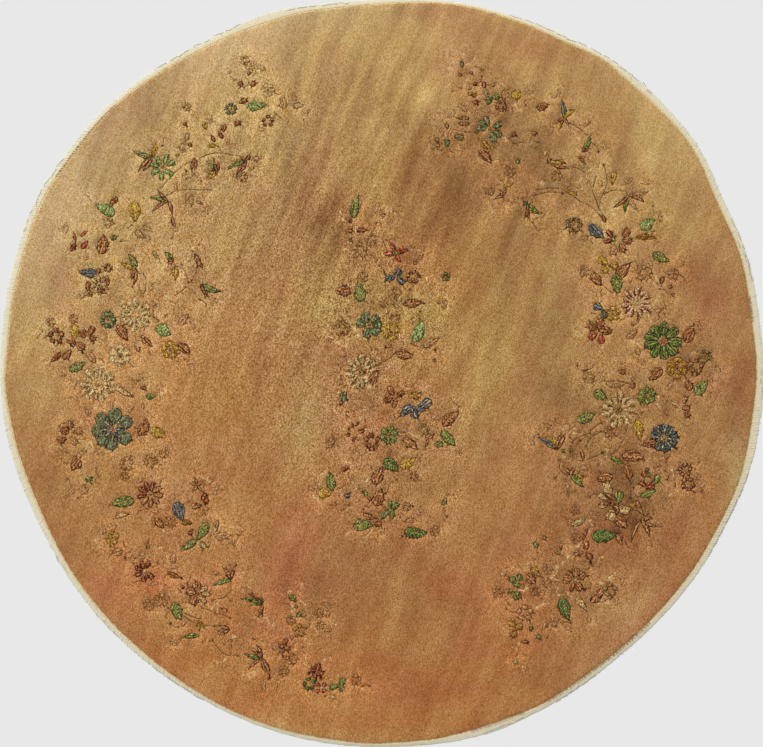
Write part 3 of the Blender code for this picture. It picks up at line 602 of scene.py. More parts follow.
def chart_to_rug(points: np.ndarray) -> np.ndarray:
    """Turn chart places to places on the rug.

    Args:
        points: columns and rows in knots.

    Returns:
        Flat places in metres.
    """
    across = (points[:, 0] - CHART_MIDDLE[0]) * KNOT
    up = (CHART_MIDDLE[1] - points[:, 1]) * KNOT
    return np.stack((across, up), axis=1) - MIDDLE


def rug_to_chart(points: np.ndarray) -> np.ndarray:
    """Turn flat places on the rug in metres to chart places in knots."""
    return (points + MIDDLE) / KNOT * (1, -1) + CHART_MIDDLE


def place_from(column: float, row: float, reach: float, turn: float) -> tuple[float, float]:
    """Chart place that lies at a distance and direction in degrees from another."""
    return (column + reach * math.cos(math.radians(turn)),
            row - reach * math.sin(math.radians(turn)))


def spans(points: np.ndarray, closed: bool) -> tuple[np.ndarray, np.ndarray]:
    """Starts and ends of the stretches of a line."""
    ahead = np.roll(points, -1, axis=0)
    return (points, ahead) if closed else (points[:-1], ahead[:-1])


def search_tree(places: Iterable) -> kdtree.KDTree:
    """Make a search tree.

    Args:
        places: flat places.

    Returns:
        The tree.
    """
    rows = list(places)
    tree = kdtree.KDTree(len(rows))
    for i, (x, y) in enumerate(rows):
        tree.insert((x, y, 0), i)
    tree.balance()
    return tree


def clearance(tree: kdtree.KDTree, x: float, y: float) -> float:
    """Distance from a flat place to the nearest in a tree."""
    return tree.find((x, y, 0))[2]


# ------------------------------------------------------------------ drawing the chart
@dataclass
class Figure:
    """One closed figure of the chart, in knots.

    Args:
        outline: its corner points, in order.
        dye: wool inside, or None for the ground's own wool.
        edge: linear colour of the clipped line round it, a painted groove shade; an open red
            figure has its own dye there.
        strength: how far that line covers the wool under it, 0 to 1.
        light: linear colour of the light strokes drawn inside it, partly light wool and partly a
            painted highlight.
        foot: chart place of its base.
        turn: direction of its length in degrees, anticlockwise from the right.
        beat: strokes to a knot along it, across it and out from its midrib.
        amount: how strongly the strokes show, 0 to 1.
        depth: how deep its edge is clipped, 0 to 1.
        tinge: how much of its dye its wool took, 0 to 1.
    """

    outline: np.ndarray
    dye: Dye | None
    edge: Colour
    strength: float
    light: Colour
    foot: Place = (0.0, 0.0)
    turn: float = 0.0
    beat: tuple[float, float, float] = (0.0, 0.0, 0.0)
    amount: float = 0.0
    depth: float = 1.0
    tinge: float = 1.0

    LIGHT_FALL = np.array((0.57, 0.82))  # which way the light travels over the chart
    MEAN_COVER, SHADE_COVER = 0.86, 0.28  # of the line's painted shade: all round, and more on the side away from the light
    FIRST_BEAT = 0.25  # puts a light stroke on the midrib

    def edge_cover(self) -> np.ndarray:
        """Find how far the clipped line's painted shade covers the wool: more on the side away
        from the light.

        Returns:
            The cover at each point of the outline.
        """
        away = self.outline - self.outline.mean(axis=0)
        away /= np.maximum(np.linalg.norm(away, axis=1), 1e-9)[:, None]
        shade = self.MEAN_COVER + self.SHADE_COVER * away @ self.LIGHT_FALL
        return np.clip(self.strength * shade, 0, 1)

    def strokes(self, places: np.ndarray) -> np.ndarray:
        """Phase of the inner strokes, place across the midrib and strength.

        Args:
            places: chart places in knots.

        Returns:
            Three columns, one row for each place.
        """
        c, s = math.cos(math.radians(self.turn)), math.sin(math.radians(self.turn))
        away = places - np.array(self.foot)
        along = away[:, 0] * c - away[:, 1] * s
        across = -away[:, 0] * s - away[:, 1] * c
        phase = along * self.beat[0] + across * self.beat[1] + abs(across) * self.beat[2]
        return np.stack((phase + self.FIRST_BEAT, across,
                         np.full(len(places), self.amount)), axis=1)


@dataclass
class Thread:
    """One open line of the chart, in knots: a stem, vein or stripe.

    Args:
        points: its points, in order.
        colour: linear colour.
        strength: how far it covers the wool under it, 0 to 1.
        depth: how deep it is clipped, as a share of the full groove.
    """

    points: np.ndarray
    colour: Colour
    strength: float
    depth: float


def half_width(share: np.ndarray, rise: float, fall: float) -> np.ndarray:
    """Half width of a leaf or petal along its length, 1 at its widest.

    Args:
        share: places along it, 0 at the base and 1 at the tip.
        rise: how pointed the base is.
        fall: how pointed the tip is.

    Returns:
        The half width at each place.
    """
    peak = rise / (rise + fall)
    top = peak**rise * (1 - peak) ** fall
    return share**rise * (1 - share) ** fall / top


@dataclass
class FlowerChart:
    """Collects the figures and threads of the whole design.

    Args:
        step: spacing of points along an outline, in knots.
        wobble: how far the knotting strays from the drawn outline, in knots.
        hand: seeded source of that straying.
        tries: places tried for figures in the ground's own wool.
        echo_reach: how far those keep from the coloured ones at most, in knots.
    """

    step: float = 1.5
    wobble: float = 0.28
    hand: np.random.Generator = field(default_factory=lambda: np.random.default_rng(11))
    tries: int = 7000
    echo_reach: float = 11.0
    figures: list[Figure] = field(default_factory=list)
    threads: list[Thread] = field(default_factory=list)

    # how pointed the base and the tip are
    LEAF_SHAPE, BLADE_SHAPE, PETAL_SHAPE = (0.62, 0.95), (0.75, 1.1), (0.62, 0.36)
    RAY_SHAPE, GAP_SHAPE = (0.5, 0.3), (0.7, 0.7)
    # strokes to a knot (along, across, out from the midrib) and their strength
    STROKES = {Draw.VEINED: ((0.33, 0.0, -0.30), 0.34), Draw.STRIPED: ((0.0, 0.37, 0.0), 0.45),
               Draw.PLAIN: ((0.0, 0.33, 0.0), 0.35), Draw.OPEN: ((0.0, 0.36, 0.0), 0.4)}
    CONTRAST = {Dye.PALE: 0.45, Dye.CREAM: 0.5, Dye.STRAW: 0.45, Dye.BLUSH: 0.6,
                Dye.WINE: 1.4, Dye.RED: 1.4, Dye.BROWN: 1.25, Dye.MAUVE: 1.25, Dye.BLUE: 1.1}
    # widths in knots from which the wobble, the outline and the strokes have their full strength
    FULL_WOBBLE, FULL_LINE, FULL_STROKES = 8.0, 7.0, 5.5
    RIBBED_WIDTH = 7  # from which it has a midrib
    VIVID_LINE, FILLED_LINE, OPEN_LINE = 0.95, 0.65, 0.66
    WIDE_LINE = 0.25  # more for a wide figure
    FAINT_LINE = 0.7  # share of it round pale wool
    OPEN_TINGE = 0.35  # of its dye in a figure of the ground's own wool
    LEAF_BOW, BLADE_BOW, RAY_BOW = 0.05, 0.06, 0.05
    # the gaps between a chrysanthemum's rays: dye and width by the dye of the rays
    RAY_GAPS = {Dye.BLUSH: (Dye.WINE, 1.7), Dye.PALE: (Dye.SAGE, 1.4),
                Dye.STRAW: (Dye.SAGE, 1.4), Dye.CREAM: (Dye.OLIVE, 1.4)}

    def axis(self, base: Place, length: float, turn: float, bend: float,
             share: np.ndarray) -> tuple[np.ndarray, np.ndarray]:
        """Points and side directions along a gently bent midrib.

        Args:
            base: chart place of the foot.
            length: length in knots.
            turn: direction of the tip in degrees, anticlockwise from the right.
            bend: how far it bows sideways, as a share of the length.
            share: places along it, 0 to 1.

        Returns:
            The points, and the unit direction to the left of each.
        """
        along = np.array((math.cos(math.radians(turn)), -math.sin(math.radians(turn))))
        left = np.array((along[1], -along[0]))
        bow = bend * length * 4 * share * (1 - share)
        points = np.array(base) + np.outer(share * length, along) + np.outer(bow, left)
        slope = bend * 4 * (1 - 2 * share)
        sides = left - np.outer(slope, along)
        return points, sides / np.linalg.norm(sides, axis=1)[:, None]

    def rib(self, base: Place, length: float, turn: float, bend: float, span: Place,
            count: int, colour: Colour, strength: float, depth: float) -> None:
        """Draw a line along part of a midrib: a span of shares of its length, in count points."""
        points, _ = self.axis(base, length, turn, bend, np.linspace(*span, count))
        self.threads.append(Thread(points, colour, strength, depth))

    def lobe(self, base: Place, length: float, width: float, turn: float, shape: Place,
             dye: Dye, draw: Draw, bend: float = 0.0, firm: float | None = None) -> None:
        """Draw one leaf, blade or petal.

        Args:
            base: chart place of its foot.
            length: length in knots.
            width: width in knots.
            turn: direction of the tip in degrees.
            shape: how pointed its base and its tip are.
            dye: its wool.
            draw: how it is knotted.
            bend: sideways bow, as a share of the length.
            firm: strength of its outline, or None for the usual one.
        """
        count = max(4, round(length / self.step))
        share = (1 - np.cos(np.linspace(0, math.pi, count + 1))) / 2
        points, sides = self.axis(base, length, turn, bend, share)
        wide = half_width(share, *shape)[:, None] * width / 2
        outline = np.concatenate((points - sides * wide, (points + sides * wide)[-2:0:-1]))
        stray = self.wobble * min(1.0, width / self.FULL_WOBBLE)
        outline = outline + self.hand.normal(0, stray, outline.shape)
        filled = draw is not Draw.OPEN
        vivid = not filled and dye in (Dye.RED, Dye.WINE)
        if firm is None:
            firm = self.VIVID_LINE if vivid else (
                (self.FILLED_LINE if filled else self.OPEN_LINE)
                + self.WIDE_LINE * min(1.0, width / self.FULL_LINE))
            firm *= self.FAINT_LINE if dye in (Dye.PALE, Dye.STRAW, Dye.BLUSH) else 1.0
        beat, amount = self.STROKES[draw]
        amount *= self.CONTRAST.get(dye, 1.0)
        self.figures.append(Figure(
            outline, dye, dye.face if vivid else dye.edge, firm, dye.light, base, turn, beat,
            amount * min(1.0, width / self.FULL_STROKES),
            tinge=1.0 if filled else self.OPEN_TINGE))
        if draw is Draw.VEINED or draw is Draw.STRIPED and width >= self.RIBBED_WIDTH:
            self.rib(base, length, turn, bend, (0.08, 0.86), max(4, round(length / 2.5)),
                     dye.light, strength=0.45, depth=0.25)
        elif draw is Draw.OPEN and width >= self.RIBBED_WIDTH:
            self.rib(base, length, turn, bend, (0.1, 0.6), max(3, round(length / 3)),
                     dye.edge, strength=0.35, depth=0.5)

    def leaf(self, column: float, row: float, length: float, width: float, turn: float,
             dye: Dye, draw: Draw = PLAIN, shape: Place = LEAF_SHAPE,
             bend: float = 0.0) -> None:
        """Draw a leaf or petal; the first seven arguments are the columns of LEAVES."""
        base = place_from(column, row, -length / 2, turn)
        self.lobe(base, length, width, turn, shape, dye, draw, bend)

    def eye(self, column: float, row: float, across: float, dye: Dye) -> None:
        """Draw the round eye of a bloom.

        Args:
            column: chart column of its middle.
            row: chart row of its middle.
            across: width in knots.
            dye: its wool, or TAN for the ground's own.
        """
        turn = np.linspace(0, 2 * math.pi, 7)[:-1]
        outline = np.stack((column + across / 2 * np.cos(turn),
                            row - across / 2 * np.sin(turn)), axis=1)
        wool = None if dye is Dye.TAN else dye
        self.figures.append(Figure(outline, wool, dye.edge, 0.45, dye.light))

    def bloom(self, column: float, row: float, across: float, width: float,
              turns: tuple[float, ...], dye: Dye, eye: Dye, draw: Draw = PLAIN) -> None:
        """Draw a bloom whose petals point the given ways.

        Args:
            column: chart column of its middle; all eight are the columns of OWN_WAY_BLOOMS.
            row: chart row of its middle.
            across: width of the bloom in knots.
            width: width of a petal in knots.
            turns: directions of the petals in degrees.
            dye: wool of the petals.
            eye: wool of the eye.
            draw: how the petals are knotted.
        """
        inner = across * (0.2 if across < 18 else 0.12)
        for turn in turns:
            self.lobe(place_from(column, row, inner, turn), across / 2 - inner, width, turn,
                      self.PETAL_SHAPE, dye, draw)
        if dye in (Dye.BLUE, Dye.NAVY):  # pale knots part its petals
            around = sorted(turn % 360 for turn in turns)
            for here, there in zip(around, [*around[1:], around[0] + 360]):
                self.rib((column, row), across * 0.45, (here + there) / 2, 0.0, (0.2, 1.0), 5,
                         Dye.PALE.light, strength=0.75, depth=0.2)
        self.eye(column, row, max(2.6, across * 0.14), eye)

    def even_bloom(self, column: float, row: float, across: float, petals: int,
                   first: float, dye: Dye = TN, eye: Dye = TN, draw: Draw = OPEN) -> None:
        """Draw a bloom of even petals.

        Args:
            column: chart column of its middle; all eight are the columns of BLOOMS.
            row: chart row of its middle.
            across: width of the bloom in knots.
            petals: how many it has.
            first: direction of the first in degrees.
            dye: wool of the petals.
            eye: wool of the eye.
            draw: how the petals are knotted.
        """
        width = min(across * 0.38, across * 0.86 * math.sin(math.pi / petals))
        turns = tuple(first + 360 * i / petals for i in range(petals))
        self.bloom(column, row, across, width, turns, dye, eye, draw)

    def chrysanthemum(self, column: float, row: float, across: float, rays: int,
                      first: float, width: float, dye: Dye, eye: Dye) -> None:
        """Draw a chrysanthemum of two rows of rays.

        Args:
            column: chart column of its middle; all eight are the columns of CHRYSANTHEMUMS.
            row: chart row of its middle.
            across: width of the flower in knots.
            rays: how many it has.
            first: direction of the first in degrees.
            width: width of a ray in knots.
            dye: wool of the rays.
            eye: wool of the eye.
        """
        inner = across * 0.13
        for i in range(rays):
            turn = first + 360 * i / rays
            reach = across / 2 * (1.0 if i % 2 else 0.88)
            self.lobe(place_from(column, row, inner, turn), reach - inner, width, turn,
                      self.RAY_SHAPE, dye, Draw.PLAIN, self.RAY_BOW if i % 2 else -self.RAY_BOW,
                      firm=0.25)
        # the gaps between the rays are what shows: dark wedges that stop short of the tips
        gap, wide = self.RAY_GAPS[dye]
        for i in range(rays):
            turn = first + 360 * (i + 0.5) / rays
            base = place_from(column, row, across * self.hand.uniform(0.17, 0.24), turn)
            self.lobe(base, across * self.hand.uniform(0.18, 0.28), wide, turn, self.GAP_SHAPE,
                      gap, Draw.PLAIN, self.hand.uniform(-0.04, 0.2), firm=0.6)
        self.eye(column, row, across * 0.2, eye)

    def sprig(self, column: float, row: float, blades: tuple) -> None:
        """Draw bamboo blades from one point.

        Args:
            column: chart column of that point.
            row: chart row of that point.
            blades: (direction, length, width, dye) of each, as in SPRIGS.
        """
        for i, (turn, length, width, dye) in enumerate(blades):
            bend = self.BLADE_BOW if i % 2 else -self.BLADE_BOW
            parted = dye in (Dye.BROWN, Dye.WINE, Dye.MAUVE)  # a light line between two dark
            draw, firm = Draw.STRIPED if width >= 5 and not parted else Draw.PLAIN, None
            if dye is Dye.TAN:
                draw, firm = Draw.OPEN, 0.6
            elif parted:
                width, firm = width * 0.9, 0.95
            self.lobe((column, row), length, width, turn, self.BLADE_SHAPE, dye, draw, bend, firm)
            if parted:
                self.rib((column, row), length, turn, bend, (0.1, 0.9),
                         max(3, round(length / 3)), dye.light, strength=0.6, depth=0.0)

    def stem(self, dye: Dye, corners: tuple) -> None:
        """Draw a stem as a smooth line through its corners.

        Args:
            dye: its wool.
            corners: chart places.
        """
        knots = np.array(corners, float)
        padded = np.concatenate((2 * knots[:1] - knots[1:2], knots, 2 * knots[-1:] - knots[-2:-1]))
        out = []
        for a, b, c, d in zip(padded, padded[1:], padded[2:], padded[3:]):
            parts = max(2, round(float(np.linalg.norm(c - b)) / (self.step * 1.3)))
            for t in np.arange(parts) / parts:
                out.append(0.5 * (2 * b + (c - a) * t + (2 * a - 5 * b + 4 * c - d) * t * t
                                  + (3 * b - a - 3 * c + d) * t**3))
        out.append(knots[-1])
        self.threads.append(Thread(np.array(out), dye.edge, strength=0.7, depth=0.6))

    def echoes(self) -> None:
        """Fill the gaps between the sprays with figures in the ground's own wool.

        They are leaves, small blooms and tendrils, which show by their clipped lines alone:
        painted shade along the edges, light strokes inside that are a painted highlight, and
        tendrils painted as a dark shade line or a light highlight line.
        """
        rng = random.Random(23)
        tree = search_tree([point for figure in self.figures for point in figure.outline]
                           + [point for thread in self.threads for point in thread.points])
        radii = [np.ptp(figure.outline, axis=0).max() / 2 for figure in self.figures]
        taken = search_tree(figure.outline.mean(axis=0) for figure in self.figures)
        placed: list[tuple[float, float, float]] = []

        def free(column: float, row: float, clear: float) -> bool:
            """Whether a place keeps clear of everything drawn.

            Args:
                column: its chart column.
                row: its chart row.
                clear: distance to keep, in knots.

            Returns:
                True where it does.
            """
            _, i, away = taken.find((column, row, 0))
            return (clearance(tree, column, row) >= clear and away >= radii[i]
                    and all(math.hypot(column - x, row - y) > clear + reach
                            for x, y, reach in placed))

        for _ in range(self.tries):
            column, row = rng.uniform(40, 722), rng.uniform(50, 700)
            if clearance(tree, column, row) > self.echo_reach * rng.uniform(0.4, 1.0):
                continue
            kind, turn = rng.random(), rng.uniform(0, 360)
            if kind < 0.32:  # a leaf
                length, width = rng.uniform(8, 13), rng.uniform(4.5, 6.5)
                ends = [place_from(column, row, t * length, turn) for t in (-0.5, 0.5)]
                if free(column, row, 3.4) and all(free(x, y, 1.4) for x, y in ends):
                    self.lobe(ends[0], length, width, turn, self.LEAF_SHAPE, Dye.TAN,
                              Draw.OPEN, rng.uniform(-0.08, 0.08), rng.uniform(0.2, 0.5))
                    self.figures[-1].depth = 0.5
                    placed.append((column, row, length * 0.36))
            elif kind < 0.42:  # a bloom of five petals
                across = rng.uniform(9, 12)
                if free(column, row, across * 0.55):
                    self.even_bloom(column, row, across, 5, turn, Dye.TAN, Dye.TAN, Draw.OPEN)
                    placed.append((column, row, across * 0.5))
            else:  # a tendril
                bow, length = rng.uniform(-1.5, 1.5), rng.uniform(3.5, 8)
                along = np.array((math.cos(math.radians(turn)), -math.sin(math.radians(turn))))
                side = np.array((along[1], -along[0]))
                start = np.array((column, row))
                corners = [start, start + along * length / 2 + side * bow, start + along * length]
                if all(free(x, y, 1.9) for x, y in corners):
                    self.stem(Dye.TAN, tuple(map(tuple, corners)))
                    # each tendril is painted as a dark line of groove shade or as a light line of
                    # highlight
                    self.threads[-1].colour = rng.choice(
                        (Dye.TAN.edge, Dye.BROWN.edge, Dye.PALE.light, Dye.STRAW.light))
                    self.threads[-1].strength = 0.6
                    self.threads[-1].depth = 0.35
                    placed.append((*corners[1], length * 0.22))
        LOG.info("chart: %d echoes", len(placed))

    def draw_all(self) -> None:
        """Draw every table of the chart, stems first."""
        for draw, rows in ((self.stem, STEMS), (self.chrysanthemum, CHRYSANTHEMUMS),
                           (self.even_bloom, BLOOMS), (self.bloom, OWN_WAY_BLOOMS),
                           (self.sprig, SPRIGS)):
            for row in rows:
                draw(*row)
        for row in PETALS:
            self.leaf(*row, shape=self.PETAL_SHAPE)
        for i, row in enumerate(LEAVES):
            self.leaf(*row, bend=self.LEAF_BOW if i % 2 else -self.LEAF_BOW)
        self.echoes()


# ------------------------------------------------------------------ finishes
NOISE_SPAN = {1: 0.3, 2: 0.7}  # Map Range sockets: where Blender's noise mostly lies


def feed(node: bpy.types.Node, inputs: dict[Any, Any]) -> None:
    """Set or link a node's inputs.

    Args:
        node: the node.
        inputs: socket name or number to its value, or to the socket or node that feeds it.
    """
    for socket, value in inputs.items():
        if isinstance(value, bpy.types.Node):  # a Mix gives its colour at its third output
            value = value.outputs[2 if value.bl_idname == "ShaderNodeMix" else 0]
        if isinstance(value, bpy.types.NodeSocket):
            node.id_data.links.new(value, node.inputs[socket])
        else:
            node.inputs[socket].default_value = value


def add_node(tree: bpy.types.NodeTree, kind: str, inputs: dict[Any, Any] | None = None,
             **settings: Any) -> bpy.types.Node:
    """Add a shader node with its settings, values and links.

    Args:
        tree: node tree to add to.
        kind: Blender's name of the node type, without ShaderNode.
        inputs: what each input holds, as in feed.
        settings: properties of the node itself.

    Returns:
        The new node.
    """
    made = tree.nodes.new("ShaderNode" + kind)
    for name, value in settings.items():
        setattr(made, name, value)
    feed(made, inputs or {})
    return made


def new_material(name: str) -> tuple[bpy.types.Material, Callable, bpy.types.Node]:
    """Start a node material.

    Args:
        name: its name.

    Returns:
        The material, add_node for its tree, and its surface shader.
    """
    material = bpy.data.materials.new(name)
    material.use_nodes = True
    tree = material.node_tree
    return material, partial(add_node, tree), tree.nodes["Principled BSDF"]


def opaque(colour: Colour | str) -> tuple[float, float, float, float]:
    """Linear colour with full cover, from a linear colour or sRGB hex."""
    return (*(linear(colour) if isinstance(colour, str) else colour), 1.0)


@dataclass(frozen=True)
class CutWoolPile:
    """Hand-sheared wool pile: matt, with a faint bloom of fibre ends, partly the shader's sheen
    and partly a painted sheen that pales the lighter tufts, and soft streaks where the nap leans
    differently, painted lighter and darker as the light falls on it. The dyes are in the wool,
    so every flower keeps the same fibrous face as the ground."""

    khaki: str = "BE9A64"
    rose: str = "A86A3C"
    green_cast: Colour = (0.95, 1.10, 0.99)
    pink_cast: Colour = (1.05, 0.90, 1.01)
    fresh_cast: Colour = (0.98, 0.88, 0.58)
    faded_cast: Colour = (1.02, 1.12, 1.32)
    roughness: float = 0.95
    specular: float = 0.15
    sheen: float = 0.05
    sheen_roughness: float = 0.6
    bump: float = 0.25
    bump_depth: float = 0.7 * MM
    grain: float = 4.0 * MM  # a knot across, the clumps that the eye reads as pile
    clump_tone: float = 0.03
    tuft_length: float = 3.5 * MM  # the tuft of one knot, laid over with the nap
    tuft_width: float = 2.6 * MM
    tuft_tone: float = 0.88
    tip_sheen_cast: Colour = (0.48, 1.02, 2.5)  # painted sheen: the cut fibre ends of the lighter tufts shine paler
    tip_sheen_share: float = 0.55
    dyed_grain: float = 0.7
    dye_lot: float = 170 * MM  # wool of one dye lot
    lot_rose: float = 0.12  # more or less rose in a lot
    lot_dark: float = -0.25  # wool that took more rose is darker
    lot_blush: Span = (0.38, 0.62)  # from green to pink
    relief_shade_patch: float = 60 * MM  # size of a patch of painted light and shade on the clipped ground near the sprays
    relief_shade_tone: Span = (-0.14, 0.22)
    nap_length: float = 330 * MM
    nap_width: float = 56 * MM
    nap_turn: float = 68.0
    nap_tone: float = 0.19
    nap_rose: float = -1.1  # nap laid towards the light shows less rose
    shears: float = 15 * MM  # how far the hand goes before it strays
    uptake: Span = (0.8, 1.22)  # each dye lot took up unevenly along the yarn
    stroke_stray: float = 1.9
    shadow_cast: Colour = (0.42, 0.32, 0.16)

    def make(self) -> bpy.types.Material:
        """Build the material from the attributes of the pile mesh.

        Returns:
            The material.
        """
        material, node, surface = new_material("cut_wool_pile")
        place = node("TexCoord").outputs["Object"]
        cast = node("SeparateXYZ", {0: node("Attribute", attribute_name="cast").outputs["Vector"]})
        dye = node("Attribute", attribute_name="dye")
        drawn = self.drawing(node, place, self.ground(node, place, cast), dye)
        tufts = node("TexVoronoi", {"Scale": 1.0, "Vector": self.along_nap(
            node, place, self.tuft_length, self.tuft_width)})
        tone = node("SeparateColor", {0: tufts.outputs["Color"]})
        clumps = node("TexNoise", {"Scale": 1 / self.grain, "Detail": 3.0, "Roughness": 0.7,
                                   "Vector": place})
        coarse = node("MapRange", {0: clumps, **NOISE_SPAN, 3: -self.clump_tone,
                                   4: self.clump_tone}, clamp=False)
        fine = node("MapRange", {0: tone, 3: -self.tuft_tone, 4: self.tuft_tone})
        both = node("Math", {0: coarse, 1: fine}, operation="ADD")
        # dyed wool is spun from lighter and darker fibres, so its grain shows more
        depth = node("Math", {0: dye.outputs["Alpha"], 1: self.dyed_grain, 2: cast.outputs[1]},
                     operation="MULTIPLY_ADD")
        grained = node("Math", {0: both, 1: depth}, operation="MULTIPLY")
        # painted sheen: tufts that turn their cut ends up look pale, not brighter in their own dye
        inner = node("Math", {0: grained, 1: 1 - self.tip_sheen_share, 2: 1.0},
                     operation="MULTIPLY_ADD")
        wool = node("VectorMath", {0: drawn, "Scale": inner}, operation="SCALE")
        pale = node("VectorMath", {0: drawn, 1: tuple(
            tone * self.tip_sheen_share for tone in self.tip_sheen_cast)}, operation="MULTIPLY")
        ends = node("VectorMath", {0: pale, "Scale": grained}, operation="SCALE")
        summed = node("VectorMath", {0: wool, 1: ends}, operation="ADD")
        colour = node("VectorMath", {0: summed, 1: (0.0, 0.0, 0.0)}, operation="MAXIMUM")
        height = node("Math", {0: clumps, 1: tufts}, operation="SUBTRACT")
        bump = node("Bump", {"Strength": self.bump, "Distance": self.bump_depth,
                             "Height": height})
        feed(surface, {"Base Color": colour, "Normal": bump, "Roughness": self.roughness,
                       "Specular IOR Level": self.specular, "Sheen Weight": self.sheen,
                       "Sheen Roughness": self.sheen_roughness})
        return material

    def along_nap(self, node: Callable, place: bpy.types.NodeSocket, length: float,
                  width: float) -> bpy.types.Node:
        """Turn coordinates to the nap, which leans to the upper right as the rug lies.

        Args:
            node: adds a node to the material.
            place: coordinates on the rug.
            length: what counts as one along the nap, in metres.
            width: what counts as one across it.

        Returns:
            Node with the turned coordinates.
        """
        return node("Mapping", {"Rotation": (0, 0, math.radians(self.nap_turn)),
                                "Scale": (length, width, 1), "Vector": place},
                    vector_type="TEXTURE")

    def ground(self, node: Callable, place: bpy.types.NodeSocket,
               cast: bpy.types.Node) -> bpy.types.Node:
        """Tan ground, washed between khaki and rose, with the streaks of the nap.

        Args:
            node: adds a node to the material.
            place: coordinates on the rug.
            cast: node that gives blush, grain and nearness to the sprays.

        Returns:
            Node with the ground's colour.
        """
        washes = node("Attribute", attribute_name="wash")
        wash = node("SeparateColor", {0: washes})
        streak = node("TexNoise", {"Scale": 1.0, "Detail": 4.0, "Roughness": 0.5, "Vector":
                                   self.along_nap(node, place, self.nap_length, self.nap_width)})
        leaning = node("MapRange", {0: streak, **NOISE_SPAN, 3: -self.nap_tone,
                                    4: self.nap_tone}, clamp=False)
        leaned = node("Math", {0: leaning, 1: wash.outputs[2]}, operation="MULTIPLY")
        cloud = node("TexNoise", {"Scale": 1 / self.dye_lot, "Detail": 2.0, "Vector": place})
        lots = node("SeparateColor", {0: cloud.outputs["Color"]})
        shift = node("MapRange", {0: lots, **NOISE_SPAN, 3: -self.lot_rose, 4: self.lot_rose})
        lot = node("Math", {0: wash, 1: shift}, operation="ADD")
        rose = node("Math", {0: leaned, 1: self.nap_rose, 2: lot}, operation="MULTIPLY_ADD",
                    use_clamp=True)
        mixed = node("Mix", {0: rose, 6: opaque(self.khaki), 7: opaque(self.rose)},
                     data_type="RGBA")
        sway = node("MapRange", {0: lots.outputs[1], **NOISE_SPAN, 3: self.lot_blush[0],
                                 4: self.lot_blush[1]})
        blush = node("Math", {0: cast, 1: 0.5, 2: sway}, operation="MULTIPLY_ADD",
                     use_clamp=True)
        tint = node("Mix", {0: blush, 6: opaque(self.green_cast), 7: opaque(self.pink_cast)},
                    data_type="RGBA")
        tinted = node("VectorMath", {0: mixed, 1: tint}, operation="MULTIPLY")
        # where light and feet reached it most the dye has gone, and the wool is greyer
        bleach = node("Mix", {0: washes.outputs["Alpha"], 6: opaque(self.fresh_cast),
                              7: opaque(self.faded_cast)}, data_type="RGBA")
        aged = node("VectorMath", {0: tinted, 1: bleach}, operation="MULTIPLY")
        # nap laid away from the light is darker, and so is wool that took more rose
        laid = node("Math", {0: leaned, 1: wash.outputs[1]}, operation="ADD")
        lit = node("Math", {0: shift, 1: self.lot_dark, 2: laid}, operation="MULTIPLY_ADD")
        # painted light and shade: the clipped ground near the sprays lies lighter and darker, a
        # leaf's width at a time
        clipped = node("TexNoise", {"Scale": 1 / self.relief_shade_patch, "Detail": 3.0,
                                    "Vector": place})
        worked = node("MapRange", {0: clipped, **NOISE_SPAN, 3: self.relief_shade_tone[0],
                                   4: self.relief_shade_tone[1]}, clamp=False)
        light = node("Math", {0: worked, 1: cast.outputs[2], 2: lit}, operation="MULTIPLY_ADD")
        return node("VectorMath", {0: aged, "Scale": light}, operation="SCALE")

    def drawing(self, node: Callable, place: bpy.types.NodeSocket, ground: bpy.types.Node,
                dye: bpy.types.Node) -> bpy.types.Node:
        """Dyed figures over the ground, with their light and dark strokes and clipped lines.
        The dark strokes and the lines are painted shade; the light strokes are partly light wool,
        partly a painted highlight.

        Args:
            node: adds a node to the material.
            place: coordinates on the rug.
            ground: node with the ground's colour.
            dye: node with the figure's dye, and how much of it the wool took.

        Returns:
            Node with the colour of the knotted design.
        """
        vein, line = (node("Attribute", attribute_name=name) for name in ("vein", "line"))
        stroke = node("SeparateXYZ", {
            0: node("Attribute", attribute_name="stroke").outputs["Vector"]})
        hand = node("TexNoise", {"Scale": 1 / self.shears, "Detail": 2.0, "Vector": place})
        stray = node("SeparateColor", {0: hand.outputs["Color"]})
        uneven = node("MapRange", {0: stray, **NOISE_SPAN, 3: self.uptake[0],
                                   4: self.uptake[1]})
        steeped = node("VectorMath", {0: dye, "Scale": uneven}, operation="SCALE")
        dyed = node("Mix", {0: dye.outputs["Alpha"], 6: ground, 7: steeped}, data_type="RGBA")
        # strokes: a sine of the phase, which strays and fades with the hand
        strayed = node("Math", {0: stray, 1: self.stroke_stray, 2: stroke},
                       operation="MULTIPLY_ADD")
        turns = node("Math", {0: strayed, 1: 2 * math.pi}, operation="MULTIPLY")
        wave = node("Math", {0: turns}, operation="SINE")
        press = node("MapRange", {0: stray.outputs[1], 1: 0.35, 2: 0.65, 3: 0.35, 4: 1.25})
        firm = node("Math", {0: press, 1: stroke.outputs[2]}, operation="MULTIPLY")
        drawn = node("Math", {0: wave, 1: firm}, operation="MULTIPLY")
        # the light half of each stroke is partly light wool, partly a painted highlight; the dark
        # half, under shadow_cast, is painted shade
        lift = node("MapRange", {0: drawn, 1: 0.0, 2: 0.6, 3: 0.0, 4: 0.9})
        lit = node("Mix", {0: lift, 6: dyed, 7: vein}, data_type="RGBA")
        drop = node("MapRange", {0: drawn, 1: 0.0, 2: -0.6, 3: 0.0, 4: 1.0})
        deep = node("VectorMath", {0: lit, 1: self.shadow_cast}, operation="MULTIPLY")
        shaded = node("Mix", {0: drop, 6: lit, 7: deep}, data_type="RGBA")
